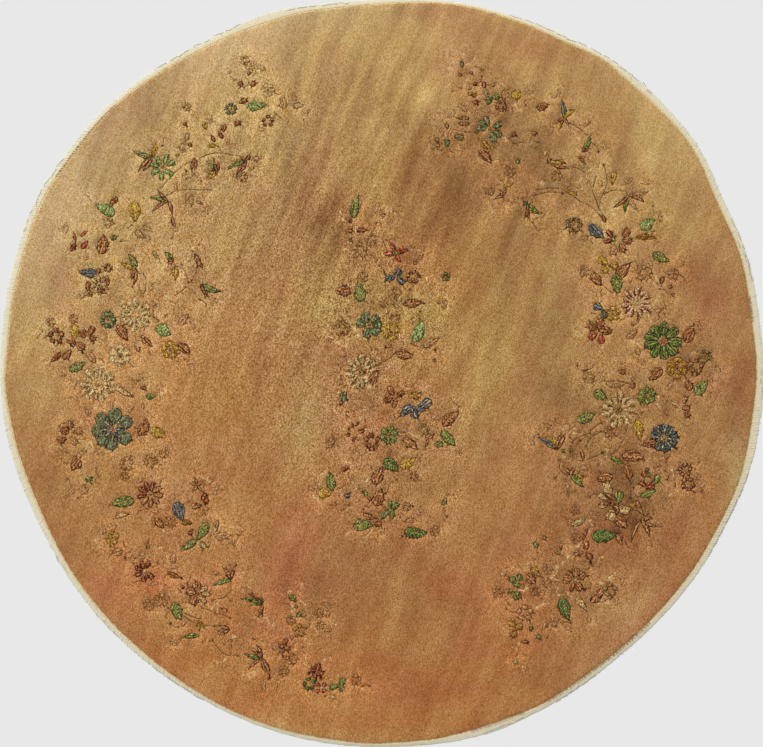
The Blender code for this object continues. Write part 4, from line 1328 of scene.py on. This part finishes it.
        # the painted shade of the clipped lines comes and goes as the shears went deeper or
        # shallower
        broken = node("MapRange", {0: stray.outputs[2], 1: 0.34, 2: 0.54, 3: 0.45, 4: 1.5})
        dim = node("Math", {0: broken, 1: line.outputs["Alpha"]}, operation="MULTIPLY")
        cover = node("Math", {0: dim, 1: 1.6, 2: -0.22}, operation="MULTIPLY_ADD",
                     use_clamp=True)
        share = node("Math", {0: 1.0, 1: line.outputs["Alpha"]}, operation="DIVIDE")
        pure = node("VectorMath", {0: line, "Scale": share}, operation="SCALE")
        return node("Mix", {0: cover, 6: shaded, 7: pure}, data_type="RGBA")


@dataclass(frozen=True)
class KnottedBack:
    """Back of the hand-knotted cloth: flat rows of wool knots between cotton wefts, which
    look like a fine brick bond, paler and harder than the pile."""

    wool: str = "B08A5C"
    wool_rosy: str = "A27044"
    shaded: float = 0.8  # tone of every other knot
    weft: str = "CDBB95"
    weft_gap: float = 0.7 * MM
    dye_lot: float = 250 * MM
    roughness: float = 0.9
    specular: float = 0.2

    def make(self) -> bpy.types.Material:
        """Build the material.

        Returns:
            The material.
        """
        material, node, surface = new_material("knotted_wool_back")
        place = node("TexCoord").outputs["Object"]
        lots = node("TexNoise", {"Scale": 1 / self.dye_lot, "Detail": 3.0, "Vector": place})
        wool = node("Mix", {0: lots, 6: opaque(self.wool), 7: opaque(self.wool_rosy)},
                    data_type="RGBA")
        dark = node("VectorMath", {0: wool, "Scale": self.shaded}, operation="SCALE")
        knots = node("TexBrick", {
            "Color1": wool, "Color2": dark, "Mortar": opaque(self.weft), "Scale": 1.0,
            "Mortar Size": self.weft_gap / 2, "Mortar Smooth": 0.6, "Bias": 0.0,
            "Brick Width": KNOT, "Row Height": KNOT / 2, "Vector": place})
        bump = node("Bump", {"Strength": 0.6, "Distance": 0.5 * MM,
                             "Height": knots.outputs["Fac"]}, invert=True)
        feed(surface, {"Base Color": knots, "Normal": bump, "Roughness": self.roughness,
                       "Specular IOR Level": self.specular})
        return material


@dataclass(frozen=True)
class CottonWeb:
    """Undyed cotton tape, woven close and matt, flecked where its ribs catch dust and greyed
    where it is worn, towards its outer fold."""

    cream: str = "E8D8B2"
    worn: str = "E4DDC4"
    wear: float = 35 * MM  # size of a worn place
    fleck: float = 4 * MM  # a rib and a half of the weave
    fleck_tone: Span = (0.76, 1.08)
    roughness: float = 0.9
    specular: float = 0.2

    def make(self) -> bpy.types.Material:
        """Build the material.

        Returns:
            The material.
        """
        material, node, surface = new_material("cotton_web_tape")
        place = node("TexCoord").outputs["Object"]
        share = node("Attribute", attribute_name="share")
        wear = node("TexNoise", {"Scale": 1 / self.wear, "Detail": 4.0, "Vector": place})
        soil = node("Math", {0: share.outputs["Fac"], 1: 1.4, 2: wear},
                    operation="MULTIPLY_ADD")
        spread = node("MapRange", {0: soil, 1: 0.8, 2: 1.35, 3: 0.0, 4: 1.0})
        web = node("Mix", {0: spread, 6: opaque(self.cream), 7: opaque(self.worn)},
                   data_type="RGBA")
        fleck = node("TexNoise", {"Scale": 1 / self.fleck, "Detail": 2.0, "Vector": place})
        tone = node("MapRange", {0: fleck, **NOISE_SPAN, 3: self.fleck_tone[0],
                                 4: self.fleck_tone[1]})
        colour = node("VectorMath", {0: web, "Scale": tone}, operation="SCALE")
        bump = node("Bump", {"Strength": 0.4, "Distance": 0.6 * MM, "Height": fleck})
        feed(surface, {"Base Color": colour, "Normal": bump, "Roughness": self.roughness,
                       "Specular IOR Level": self.specular})
        return material


@dataclass(frozen=True)
class SpunThread:
    """Spun sewing thread: matt, a little uneven in tone from twist and wear."""

    name: str
    tone: str
    worn: str
    wear: float = 12 * MM  # size of a worn place
    roughness: float = 0.85

    def make(self) -> bpy.types.Material:
        """Build the material.

        Returns:
            The material.
        """
        material, node, surface = new_material(self.name)
        place = node("TexCoord").outputs["Object"]
        wear = node("TexNoise", {"Scale": 1 / self.wear, "Detail": 2.0, "Vector": place})
        spread = node("MapRange", {0: wear, 1: 0.35, 2: 0.65, 3: 0.0, 4: 1.0})
        colour = node("Mix", {0: spread, 6: opaque(self.tone), 7: opaque(self.worn)},
                      data_type="RGBA")
        bump = node("Bump", {"Strength": 0.4, "Distance": 0.3 * MM, "Height": wear})
        feed(surface, {"Base Color": colour, "Normal": bump, "Roughness": self.roughness})
        return material


# ------------------------------------------------------------------ making meshes
def make_piece(name: str, points: np.ndarray, faces: list, material: bpy.types.Material,
               smooth: bool = True) -> bpy.types.Object:
    """Make one mesh object from points and faces.

    Args:
        name: name of the piece.
        points: N x 3 array in metres.
        faces: corner indices of each face.
        material: its finish.
        smooth: whether it is shaded smooth.

    Returns:
        The new object, linked to the scene.
    """
    mesh = bpy.data.meshes.new(name)
    mesh.from_pydata(points.tolist(), [], faces)
    mesh.materials.append(material)
    if smooth:
        mesh.shade_smooth()
    mesh.update()
    thing = bpy.data.objects.new(name, mesh)
    bpy.context.scene.collection.objects.link(thing)
    return thing


def ring_faces(first: int, second: int, count: int) -> list:
    """Quads between two closed loops of points, by their first indices and their length."""
    return [(first + i, first + (i + 1) % count, second + (i + 1) % count, second + i)
            for i in range(count)]


@dataclass
class PileField:
    """The knotted body with its cut pile, its flowers clipped in relief.

    Args:
        groove: depth clipped round each figure.
        proud: how far figures stand above the face.
        flank: how far to each side a clipped line slopes, in knots.
        pitch: spacing of points in the open field, in metres.
        clear: how far those points keep from a line, in knots.
        loop_steps: points round the edge.
        edge_cotton_highlight: cream painted on the pile's last rows: partly the cotton that shows
            between the last tufts, partly a painted highlight over the shade where the pile meets
            the tape.
        edge_cover: how much of it shows, 0 to 1.
        edge_reach: how far in from the pile's edge it shows, in mm.
    """

    groove: float = 2.2 * MM
    proud: float = 0.7 * MM
    flank: float = 0.75
    pitch: float = 20 * MM
    clear: float = 1.7
    loop_steps: int = 900
    edge_cotton_highlight: str = "DEC894"
    edge_cover: float = 0.8
    edge_reach: float = 2.0
    # (inset from the pile's edge, height) in mm, from the face down to the floor
    shoulder = ((16.0, 12.0), (11.0, 11.5), (7.0, 10.6), (4.0, 9.5), (2.0, 8.3),
                (0.8, 7.2), (0.0, 5.0), (0.0, 2.0), (0.0, 0.0))
    ROW_STEP = 0.866  # spacing of rows of triangles to their side
    RAGGED = 1.6 * MM  # how unevenly the tufts end
    UNEVEN = 0.16 * MM  # how much the shears leave the face up and down
    CROSSING = 0.8  # depth where two clipped lines cross
    FALL = 2.0  # how far from a line a figure stops standing proud, in knots
    NAP_MIDDLE, NAP_REACH = (330, 165), (220, 170)  # chart places with the strongest streaks
    GRAIN_MIDDLE, GRAIN_REACH = (310, 300), (150, 190)  # and with the strongest grain

    def loop(self, inset: float) -> np.ndarray:
        """Points round the pile, where the tufts end unevenly.

        Args:
            inset: how far in from the pile's edge they lie, in metres.

        Returns:
            Their flat places.
        """
        angle = round_angles(self.loop_steps)
        ragged = np.random.default_rng(8).uniform(0, self.RAGGED, self.loop_steps)
        return polar(pile_radius(angle) - inset - ragged * (inset > 0), angle) - MIDDLE

    def flanks(self, lines: list[tuple[np.ndarray, bool]], tree: kdtree.KDTree) -> list:
        """Points to each side of every clipped line, where its slope ends.

        Args:
            lines: each line's points on the rug, and whether it is closed.
            tree: all points of all lines.

        Returns:
            Flat points that keep clear of every line.
        """
        reach = self.flank * KNOT
        cell_size, nearest = 0.8 * reach, 0.5 * reach
        kept, cells = [], set()
        for points, closed in lines:
            here, ahead = spans(points, closed)
            gap = ahead - here
            length = np.maximum(np.linalg.norm(gap, axis=1), 1e-9)[:, None]
            left = np.stack((-gap[:, 1], gap[:, 0]), axis=1) / length
            middle = (here + ahead) / 2
            for side in (-1, 1):
                for place in middle + side * reach * left:
                    cell = (round(place[0] / cell_size), round(place[1] / cell_size))
                    if cell not in cells and clearance(tree, *place) >= nearest:
                        cells.add(cell)
                        kept.append(place)
        return kept

    def field_points(self, tree: kdtree.KDTree) -> list:
        """Scatter points over the open field, clear of the lines and of the edge.

        Args:
            tree: all points of all lines.

        Returns:
            Their flat places.
        """
        rng = random.Random(3)
        kept = []
        stray = 0.25  # of a step
        half = int(3.2 / (self.pitch * self.ROW_STEP)) // 2  # rows on half the rug and more
        limit = pile_radius(np.linspace(0, 360, 721)) - 15 * MM  # at each half degree
        for j in range(-half, half):
            for i in range(-half, half):
                x = (i + 0.5 * (j % 2) + rng.uniform(-stray, stray)) * self.pitch
                y = (j + rng.uniform(-stray, stray)) * self.pitch * self.ROW_STEP
                across, up = x + MIDDLE[0], y + MIDDLE[1]
                turn = math.degrees(math.atan2(up, across)) % 360
                if (math.hypot(across, up) <= limit[int(turn * 2)]
                        and clearance(tree, x, y) > self.clear * KNOT):
                    kept.append(np.array((x, y)))
        return kept

    def washes(self, points: np.ndarray, tree: kdtree.KDTree) -> tuple:
        """What the ground's dye and nap do at each point.

        Args:
            points: flat places on the rug.
            tree: dense points of all clipped lines.

        Returns:
            Rose, light, nap streak and fading as four columns; blush, grain and nearness
            to the sprays as three more.
        """
        places = rug_to_chart(points)
        down = np.clip(places[:, 1] / (2 * CHART_MIDDLE[1]), 0, 1)
        rose = 0.05 + 1.15 * down - 0.3 * down**2  # straw at the top, rose at the foot
        light = np.full(len(points), 0.875)
        blush = np.zeros(len(points))
        faded = np.full(len(points), 0.5)
        for column, row, long, wide, turn, *change in WASHES:
            here = self.bell(places, (column, row), (long, wide), turn)
            for tone, amount in zip((rose, light, blush, faded), change):
                tone += amount * here
        streak = 0.42 + 0.74 * self.bell(places, self.NAP_MIDDLE, self.NAP_REACH)
        away = np.array([clearance(tree, x, y) for x, y in points]) / KNOT
        spray = np.exp(-((away / 9) ** 2))
        light += 0.05 * spray
        middle = self.bell(places, self.GRAIN_MIDDLE, self.GRAIN_REACH)
        grain = (0.36 + 0.2 * np.clip(places[:, 1] / 450, 0, 1) + 0.5 * middle
                 + 0.25 * spray)
        return (np.stack((np.clip(rose, 0, 1), light, streak, np.clip(faded, 0, 1)), axis=1),
                np.stack((blush, grain, spray), axis=1))

    @staticmethod
    def bell(places: np.ndarray, middle: Place, reach: Place, turn: float = 0.0) -> np.ndarray:
        """Soft spot on the chart that fades away from its middle.

        Args:
            places: chart places.
            middle: where it is strongest.
            reach: how far it reaches along its length and across it, in knots.
            turn: direction of its length in degrees, anticlockwise from the right.

        Returns:
            Its strength at each place, 0 to 1.
        """
        c, s = math.cos(math.radians(turn)), -math.sin(math.radians(turn))
        column, row = (places - middle).T
        return np.exp(-(((column * c + row * s) / reach[0]) ** 2
                        + ((-column * s + row * c) / reach[1]) ** 2))

    def build(self, chart: FlowerChart, material: bpy.types.Material,
              back: bpy.types.Material) -> bpy.types.Object:
        """Build the pile as one closed mesh.

        Args:
            chart: the drawn design.
            material: the pile's finish.
            back: finish of its flat underside.

        Returns:
            The finished piece.
        """
        figures = [chart_to_rug(figure.outline) for figure in chart.figures]
        threads = [chart_to_rug(thread.points) for thread in chart.threads]
        lines = [(points, True) for points in figures] + [(points, False) for points in threads]
        marks = np.concatenate([points for points, _ in lines])
        depth = np.concatenate([np.full(len(points), drawn.depth) for (points, _), drawn
                                in zip(lines, chart.figures + chart.threads)])
        dense = []
        for points, closed in lines:
            here, ahead = spans(points, closed)
            dense.extend([here, (here + ahead) / 2])
        tree = search_tree(np.concatenate(dense))

        steps = self.loop_steps
        extra = self.flanks(lines, tree) + self.field_points(tree)
        flat = np.concatenate((self.loop(self.shoulder[0][0] * MM), marks, np.array(extra)))
        edges, start = [(i, (i + 1) % steps) for i in range(steps)], steps
        for points, closed in lines:
            count = len(points)
            edges.extend((start + i, start + (i + 1) % count)
                         for i in range(count if closed else count - 1))
            start += count
        LOG.info("pile: %d chart points, %d others", len(marks), len(extra))
        found, _, faces, sources, _, _ = delaunay_2d_cdt(
            [Vector(place) for place in flat], edges, [], 1, 1e-6)
        places = np.array([(place.x, place.y) for place in found])

        heights, colours = self.relief(places, sources, marks, depth, chart, tree)
        home = {index: i for i, source in enumerate(sources) for index in source
                if index < steps}
        points, total = [np.column_stack((places, heights))], len(places)
        upper = [home[i] for i in range(steps)]
        faces = [tuple(face) for face in faces]
        owners = self.top_figures(places[np.array(faces)].mean(axis=1), figures)
        for inset, height in self.shoulder[1:]:
            points.append(np.column_stack((self.loop(inset * MM),
                                           np.full(steps, height * MM))))
            lower = list(range(total, total + steps))
            for i in range(steps):
                j = (i + 1) % steps
                faces.append((upper[i], lower[i], lower[j], upper[j]))
            upper, total = lower, total + steps
        faces.append(tuple(reversed(upper)))
        owners = np.append(owners, np.full(len(faces) - len(owners), -1))
        thing = make_piece("wool_pile", np.concatenate(points), faces, material)
        thing.data.materials.append(back)
        thing.data.polygons[len(faces) - 1].material_index = 1
        self.paint(thing.data, owners, chart, colours, tree)
        return thing

    @staticmethod
    def top_figures(centres: np.ndarray, outlines: list[np.ndarray]) -> np.ndarray:
        """The figure drawn last over each face.

        Args:
            centres: flat middles of the faces.
            outlines: each figure's outline on the rug.

        Returns:
            For each face the number of its figure, or -1 for the ground.
        """
        owners = np.full(len(centres), -1)
        order = np.argsort(centres[:, 0])
        ranked = centres[order, 0]
        for number, outline in enumerate(outlines):
            low, high = outline.min(0), outline.max(0)
            first, last = np.searchsorted(ranked, (low[0], high[0]))
            near = order[first:last]
            near = near[(centres[near, 1] > low[1]) & (centres[near, 1] < high[1])]
            x, y = centres[near, 0], centres[near, 1]
            crossings = np.zeros(len(near), int)
            for here, there in zip(*spans(outline, True)):
                beside = (here[1] > y) != (there[1] > y)
                rise = there[1] - here[1] or 1e-12
                at = here[0] + (y - here[1]) / rise * (there[0] - here[0])
                crossings += beside & (x < at)
            owners[near[crossings % 2 == 1]] = number
        return owners

    def relief(self, places: np.ndarray, sources: list, marks: np.ndarray,
               depth: np.ndarray, chart: FlowerChart, tree: kdtree.KDTree) -> tuple:
        """Height and line colour of every point of the face; the line colours are the painted
        shade of the clipped edges and the colours of the threads.

        Args:
            places: the flat points.
            sources: for each, the points it came from, those round the edge first.
            marks: all points of the chart's lines.
            depth: how deep each of them is clipped, 0 to 1.
            chart: the drawn design.
            tree: dense points of all lines.

        Returns:
            Heights in metres, and premultiplied line colours with their cover.
        """
        tint = [(*figure.edge, cover) for figure in chart.figures
                for cover in figure.edge_cover()]
        tint += [(*thread.colour, thread.strength) for thread in chart.threads
                 for _ in thread.points]
        colours = np.zeros((len(places), 4))
        x, y = places.T
        uneven = (np.sin(x * 31 + 1.7 * np.sin(y * 23)) + np.sin(y * 37 + 2.1 * np.sin(x * 17))
                  + 0.7 * np.sin(x * 83 + y * 61)) * self.UNEVEN
        heights = PILE_TOP + uneven
        steps = self.loop_steps
        for i, source in enumerate(sources):
            on_line = [index - steps for index in source if steps <= index < steps + len(marks)]
            if on_line:
                best = max(on_line, key=lambda k: tint[k][3])
                red, green, blue, cover = tint[best]
                colours[i] = (red * cover, green * cover, blue * cover, cover)
                heights[i] -= self.groove * max(depth[k] for k in on_line)
            elif not source:  # two lines cross here
                heights[i] -= self.groove * self.CROSSING
            elif min(source) >= steps:
                away = clearance(tree, x[i], y[i]) / KNOT
                heights[i] += self.proud * math.exp(-((away - self.flank) / self.FALL) ** 2)
            else:
                heights[i] = PILE_TOP
        return heights, colours

    def paint(self, mesh: bpy.types.Mesh, owners: np.ndarray, chart: FlowerChart,
              lines: np.ndarray, tree: kdtree.KDTree) -> None:
        """Store the attributes that the material reads.

        Args:
            mesh: the pile mesh, its face points first.
            owners: the figure of each face, or -1 for the ground.
            chart: the drawn design.
            lines: line colours of the face points.
            tree: dense points of all lines.
        """
        count = len(mesh.vertices)
        cover = np.zeros((count, 4), np.float32)
        cover[: len(lines)] = lines
        # the pile's last rows by the tape are painted cream: partly the cotton that shows between
        # the tufts, partly a painted highlight over the shade where the pile meets the tape
        cotton = (*(self.edge_cover * np.array(linear(self.edge_cotton_highlight))), self.edge_cover)
        for k, (inset, _) in enumerate(self.shoulder[1:]):
            if inset <= self.edge_reach:
                first = len(lines) + k * self.loop_steps
                cover[first : first + self.loop_steps] = cotton
        self.store(mesh, "line", "FLOAT_COLOR", "POINT", cover)
        flat = np.zeros(count * 3, np.float32)
        mesh.vertices.foreach_get("co", flat)
        flat = flat.reshape(-1, 3)[:, :2]
        wash, cast = self.washes(flat, tree)
        self.store(mesh, "wash", "FLOAT_COLOR", "POINT", wash)
        self.store(mesh, "cast", "FLOAT_VECTOR", "POINT", cast)

        sizes = np.zeros(len(mesh.polygons), np.int32)
        mesh.polygons.foreach_get("loop_total", sizes)
        corner_owner = np.repeat(owners, sizes)
        corner_point = np.zeros(len(mesh.loops), np.int32)
        mesh.loops.foreach_get("vertex_index", corner_point)
        chart_places = rug_to_chart(flat)
        dyes, veins, strokes = (np.zeros((len(corner_owner), width)) for width in (4, 4, 3))
        order = np.argsort(corner_owner, kind="stable")
        starts = np.searchsorted(corner_owner[order], np.arange(len(chart.figures) + 1))
        for number, figure in enumerate(chart.figures):
            own = order[starts[number] : starts[number + 1]]
            if figure.dye:
                dyes[own] = (*figure.dye.face, figure.tinge)
            veins[own] = opaque(figure.light)
            strokes[own] = figure.strokes(chart_places[corner_point[own]])
        self.store(mesh, "dye", "FLOAT_COLOR", "CORNER", dyes)
        self.store(mesh, "vein", "FLOAT_COLOR", "CORNER", veins)
        self.store(mesh, "stroke", "FLOAT_VECTOR", "CORNER", strokes)

    @staticmethod
    def store(mesh: bpy.types.Mesh, name: str, kind: str, where: str, rows: np.ndarray) -> None:
        """Store one attribute.

        Args:
            mesh: mesh to store it on.
            name: name that the material reads.
            kind: Blender's name of its type.
            where: POINT or CORNER.
            rows: its values.
        """
        made = mesh.attributes.new(name, kind, where)
        made.data.foreach_set("color" if kind == "FLOAT_COLOR" else "vector",
                              rows.astype(np.float32).ravel())


@dataclass
class RimBinding:
    """The cotton tape round the cut edge, slightly frayed at its outer fold.

    Args:
        steps: points round it.
        fray: how far the outer fold strays.
        ripple: how far the tape's face strays up and down.
    """

    steps: int = 900
    fray: float = 1.2 * MM
    ripple: float = 0.12 * MM
    # (share of the tape's width from the pile, height in mm) round the section
    section = ((0.0, 0.0), (0.0, 5.7), (0.10, 5.8), (0.3, 5.1), (0.5, 4.1), (0.72, 2.9),
               (0.88, 1.9), (0.97, 1.1), (1.0, 0.5), (0.98, 0.0))

    def build(self, material: bpy.types.Material) -> bpy.types.Object:
        """Build the tape as one closed ring.

        Args:
            material: its finish.

        Returns:
            The finished piece.
        """
        rng = np.random.default_rng(5)
        angle = round_angles(self.steps)
        inner = polar(pile_radius(angle) + PIECE_GAP, angle) - MIDDLE
        wave = rng.normal(0, 1, self.steps)
        wave = (wave + np.roll(wave, 1) + np.roll(wave, -1)) / 3
        outer = polar(edge_radius(angle) + self.fray * wave, angle) - MIDDLE
        points = []
        for share, height in self.section:
            flat = inner * (1 - share) + outer * share
            ripple = rng.normal(0, self.ripple, self.steps) * (height > 0)
            points.append(np.column_stack((flat, height * MM + ripple)))
        count = len(self.section)
        faces = [tuple(reversed(face)) for k in range(count) for face in ring_faces(
            k * self.steps, (k + 1) % count * self.steps, self.steps)]
        thing = make_piece("cotton_tape", np.concatenate(points), faces, material)
        store = thing.data.attributes.new("share", "FLOAT", "POINT")
        shares = np.repeat([share for share, _ in self.section], self.steps)
        store.data.foreach_set("value", shares.astype(np.float32))
        return thing


@dataclass
class EdgeThread:
    """Thread sewn over the tape: slanting whip stitches with loose ends, a ladder of short
    stitches where the tape meets the pile, or a running thread.

    Args:
        radius: of the thread.
        pitch: spacing of whip stitches along the edge.
        slant: how far a stitch leans along the edge on its way out.
        sides: sides of the thread's section.
    """

    radius: float = 0.65 * MM
    pitch: float = 7.5 * MM
    slant: float = 10 * MM
    sides: int = 4
    # (share of the tape's width, height of the thread's middle in mm)
    whip_path = ((-0.10, 8.2), (0.12, 6.4), (0.45, 4.9), (0.8, 2.9), (1.04, 0.8))
    ladder_path = ((-0.16, 10.0), (0.0, 9.8), (0.16, 8.6))
    # how far whip stitches reach to the fold, and how often
    REACHES, REACH_ODDS = (0.82, 0.95, 1.02, 1.10), (0.25, 0.3, 0.3, 0.15)
    TWINS = (-0.024, 0.024)  # degrees to each side of a doubled thread's middle

    def ring_points(self, share: np.ndarray, angle: np.ndarray,
                    height: np.ndarray) -> np.ndarray:
        """Find places over the tape.

        Args:
            share: shares of its width from the pile.
            angle: compass angles in degrees.
            height: heights in mm.

        Returns:
            The places, in metres.
        """
        inner = pile_radius(angle)
        radius = inner + (edge_radius(angle) - inner) * share
        return np.column_stack((polar(radius, angle) - MIDDLE, height * MM))

    def tubes(self, name: str, paths: list[np.ndarray],
              material: bpy.types.Material) -> bpy.types.Object:
        """Build closed threads along paths as one piece.

        Args:
            name: name of the piece.
            paths: points of each thread.
            material: its finish.

        Returns:
            The finished piece.
        """
        points, faces = [], []
        turn = np.arange(self.sides) * 2 * math.pi / self.sides
        total = 0
        for path in paths:
            ahead = np.gradient(path, axis=0)
            side = np.stack((-ahead[:, 1], ahead[:, 0], np.zeros(len(path))), axis=1)
            side /= np.linalg.norm(side, axis=1)[:, None]
            up = np.cross(ahead, side)
            up /= np.linalg.norm(up, axis=1)[:, None]
            for middle, across, over in zip(path, side, up):
                points.append(middle + self.radius * (np.outer(np.cos(turn), across)
                                                      + np.outer(np.sin(turn), over)))
            last = total + (len(path) - 1) * self.sides
            for first in range(total, last, self.sides):
                faces.extend(ring_faces(first, first + self.sides, self.sides))
            faces.append(tuple(reversed(range(total, total + self.sides))))
            faces.append(tuple(range(last, last + self.sides)))
            total = last + self.sides
        return make_piece(name, np.concatenate(points), faces, material)

    def whip(self, material: bpy.types.Material) -> bpy.types.Object:
        """Overcast the whole edge; some ends have worked loose past the fold.

        Args:
            material: the thread's finish.

        Returns:
            The finished piece.
        """
        rng = np.random.default_rng(21)
        share, height = np.array(self.whip_path).T
        count = round(2 * math.pi * BASE_RADIUS / self.pitch)
        paths = []
        for i in range(count):
            start = (i + rng.uniform(-0.3, 0.3)) * 360.0 / count
            reach = rng.choice(self.REACHES, p=self.REACH_ODDS)
            lean = math.degrees(self.slant * rng.uniform(0.5, 1.5) / BASE_RADIUS)
            paths.append(self.ring_points(share * reach, start + lean * share,
                                          height + rng.uniform(0, 0.3)))
        return self.tubes("whip_stitches", paths, material)

    def ladder(self, material: bpy.types.Material) -> bpy.types.Object:
        """Catch the pile to the tape in short stitches, sewn with a doubled thread.

        Args:
            material: the thread's finish.

        Returns:
            The finished piece.
        """
        rng = np.random.default_rng(24)
        across, height = np.array(self.ladder_path).T
        paths = []
        for start, end, pitch in EDGE_LADDERS:
            for angle in np.arange(start, end, math.degrees(pitch * MM / BASE_RADIUS)):
                angle += rng.uniform(-0.08, 0.08)
                share = across + rng.uniform(-0.05, 0.05)
                for twin in self.TWINS:
                    paths.append(self.ring_points(share, angle + twin + share * 0.5, height))
        return self.tubes("ladder_stitches", paths, material)

    def running(self, material: bpy.types.Material) -> bpy.types.Object:
        """Lay the darker thread that shows along parts of the edge.

        Args:
            material: the thread's finish.

        Returns:
            The finished piece.
        """
        rng = np.random.default_rng(22)
        lift = 1.2  # mm over the whip stitches
        paths = []
        for start, end, share in EDGE_THREADS:
            while start < end:  # it dips under the whip stitches every few knots
                angle = np.linspace(start, start + rng.uniform(0.5, 1.8), 5)
                sway = share + np.cumsum(rng.normal(0, 0.07, 5))
                height = np.interp(sway, *np.array(self.whip_path).T) + lift
                paths.append(self.ring_points(sway, angle, height))
                start = angle[-1] + rng.uniform(0.1, 0.9)
        return self.tubes("sewing_thread", paths, material)


# ------------------------------------------------------------------ stage
@dataclass
class Studio:
    """Pale floor, soft light and a camera square above the rug.

    Args:
        lens: focal length in mm.
        sensor: width of the sensor in mm.
        floor_tone: colour of the floor.
        floor_half: half the floor's side, past the top of the frame in a low view.
        floor_drop: how far the floor lies under the rug.
        clip_end: how far the camera sees, over the whole floor.
        sky: strength of the sky.
        sun: strength of the lamp.
        sun_width: how wide the lamp looks in degrees, for soft shadows.
        sun_height: its height over the floor in degrees.
        sun_from: its compass angle in degrees.
    """

    lens: float = 85.0
    sensor: float = 36.0
    floor_tone: str = "E8E8E8"
    floor_half: float = 60.0
    floor_drop: float = 0.5 * MM
    clip_end: float = 250
    sky: float = 0.42
    sun: float = 2.72
    sun_width: float = 18.0
    sun_height: float = 42.0
    sun_from: float = 125.0

    def build(self) -> None:
        """Make the floor, the light and the camera."""
        self.make_floor()
        self.make_light()
        self.make_camera()

    def make_floor(self) -> None:
        """Lay a wide plain floor under the rug."""
        material, _, surface = new_material("studio_floor")
        feed(surface, {"Base Color": opaque(self.floor_tone), "Roughness": 1.0,
                       "Specular IOR Level": 0.0})
        corners = np.array([(x * self.floor_half, y * self.floor_half, -self.floor_drop)
                            for x, y in ((-1, -1), (1, -1), (1, 1), (-1, 1))])
        floor = make_piece("studio_floor", corners, [(0, 1, 2, 3)], material, smooth=False)

    def make_light(self) -> None:
        """Add an even sky and one broad lamp from the upper left."""
        world = bpy.data.worlds.new("studio")
        world.use_nodes = True
        feed(world.node_tree.nodes["Background"], {0: (1, 1, 1, 1), 1: self.sky})
        bpy.context.scene.world = world
        lamp = bpy.data.lights.new("key", "SUN")
        lamp.energy = self.sun
        lamp.angle = math.radians(self.sun_width)
        holder = bpy.data.objects.new("key", lamp)
        turn, tilt = math.radians(self.sun_from), math.radians(self.sun_height)
        toward = Vector((math.cos(turn) * math.cos(tilt), math.sin(turn) * math.cos(tilt),
                         math.sin(tilt)))
        holder.rotation_mode = "QUATERNION"
        holder.rotation_quaternion = toward.to_track_quat("Z", "Y")
        holder.location = toward * 5
        bpy.context.scene.collection.objects.link(holder)

    def make_camera(self) -> None:
        """Hang a long lens straight above the middle of the chart."""
        data = bpy.data.cameras.new("camera")
        data.lens = self.lens
        data.sensor_width = self.sensor
        data.clip_end = self.clip_end
        holder = bpy.data.objects.new("camera", data)
        width = CHART_COLUMNS * KNOT
        holder.location = (-MIDDLE[0], -MIDDLE[1], PILE_TOP + width * self.lens / self.sensor)
        bpy.context.scene.collection.objects.link(holder)
        bpy.context.scene.camera = holder
        settings = bpy.context.scene.view_settings
        settings.view_transform = "Standard"
        settings.look = "None"
        settings.exposure = 0.0
        settings.gamma = 1.0


@dataclass
class Rug:
    """The whole rug, piece by piece.

    Args:
        flat_size: width and depth of the cloth laid flat, in metres; not used.
    """

    flat_size: Place = (3.01, 2.95)

    def keep(self, thing: bpy.types.Object) -> bpy.types.Object:
        """Let a piece ride with the rug and report it.

        Args:
            thing: the piece.

        Returns:
            The same piece.
        """
        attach(thing, "root")
        LOG.info("%s: %d faces", thing.name, len(thing.data.polygons))
        return thing

    def build(self) -> None:
        """Build every piece and tie it to the CAD model."""
        chart = FlowerChart()
        chart.draw_all()
        LOG.info("chart: %d figures, %d threads", len(chart.figures), len(chart.threads))
        pile = self.keep(PileField().build(chart, CutWoolPile().make(), KnottedBack().make()))
        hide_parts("pile_field")
        tape = self.keep(RimBinding().build(CottonWeb().make()))
        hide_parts("rim_binding")
        thread = EdgeThread()
        stitches = self.keep(thread.whip(SpunThread("cotton_thread", "F4E6C2", "DAD6BE").make()))
        sewing = self.keep(thread.running(SpunThread("grey_thread", "A6A48E", "7C7A66").make()))
        ladder = self.keep(thread.ladder(SpunThread("brown_thread", "A88C60", "785E3C").make()))
        angle = round_angles(720)
        area = float((edge_radius(angle) ** 2).mean() * math.pi)


def main() -> None:
    """Build the studio and the rug."""
    logging.basicConfig(level=logging.INFO, format="%(name)s: %(message)s")
    Studio().build()
    Rug().build()


if __name__ == "__main__":
    main()
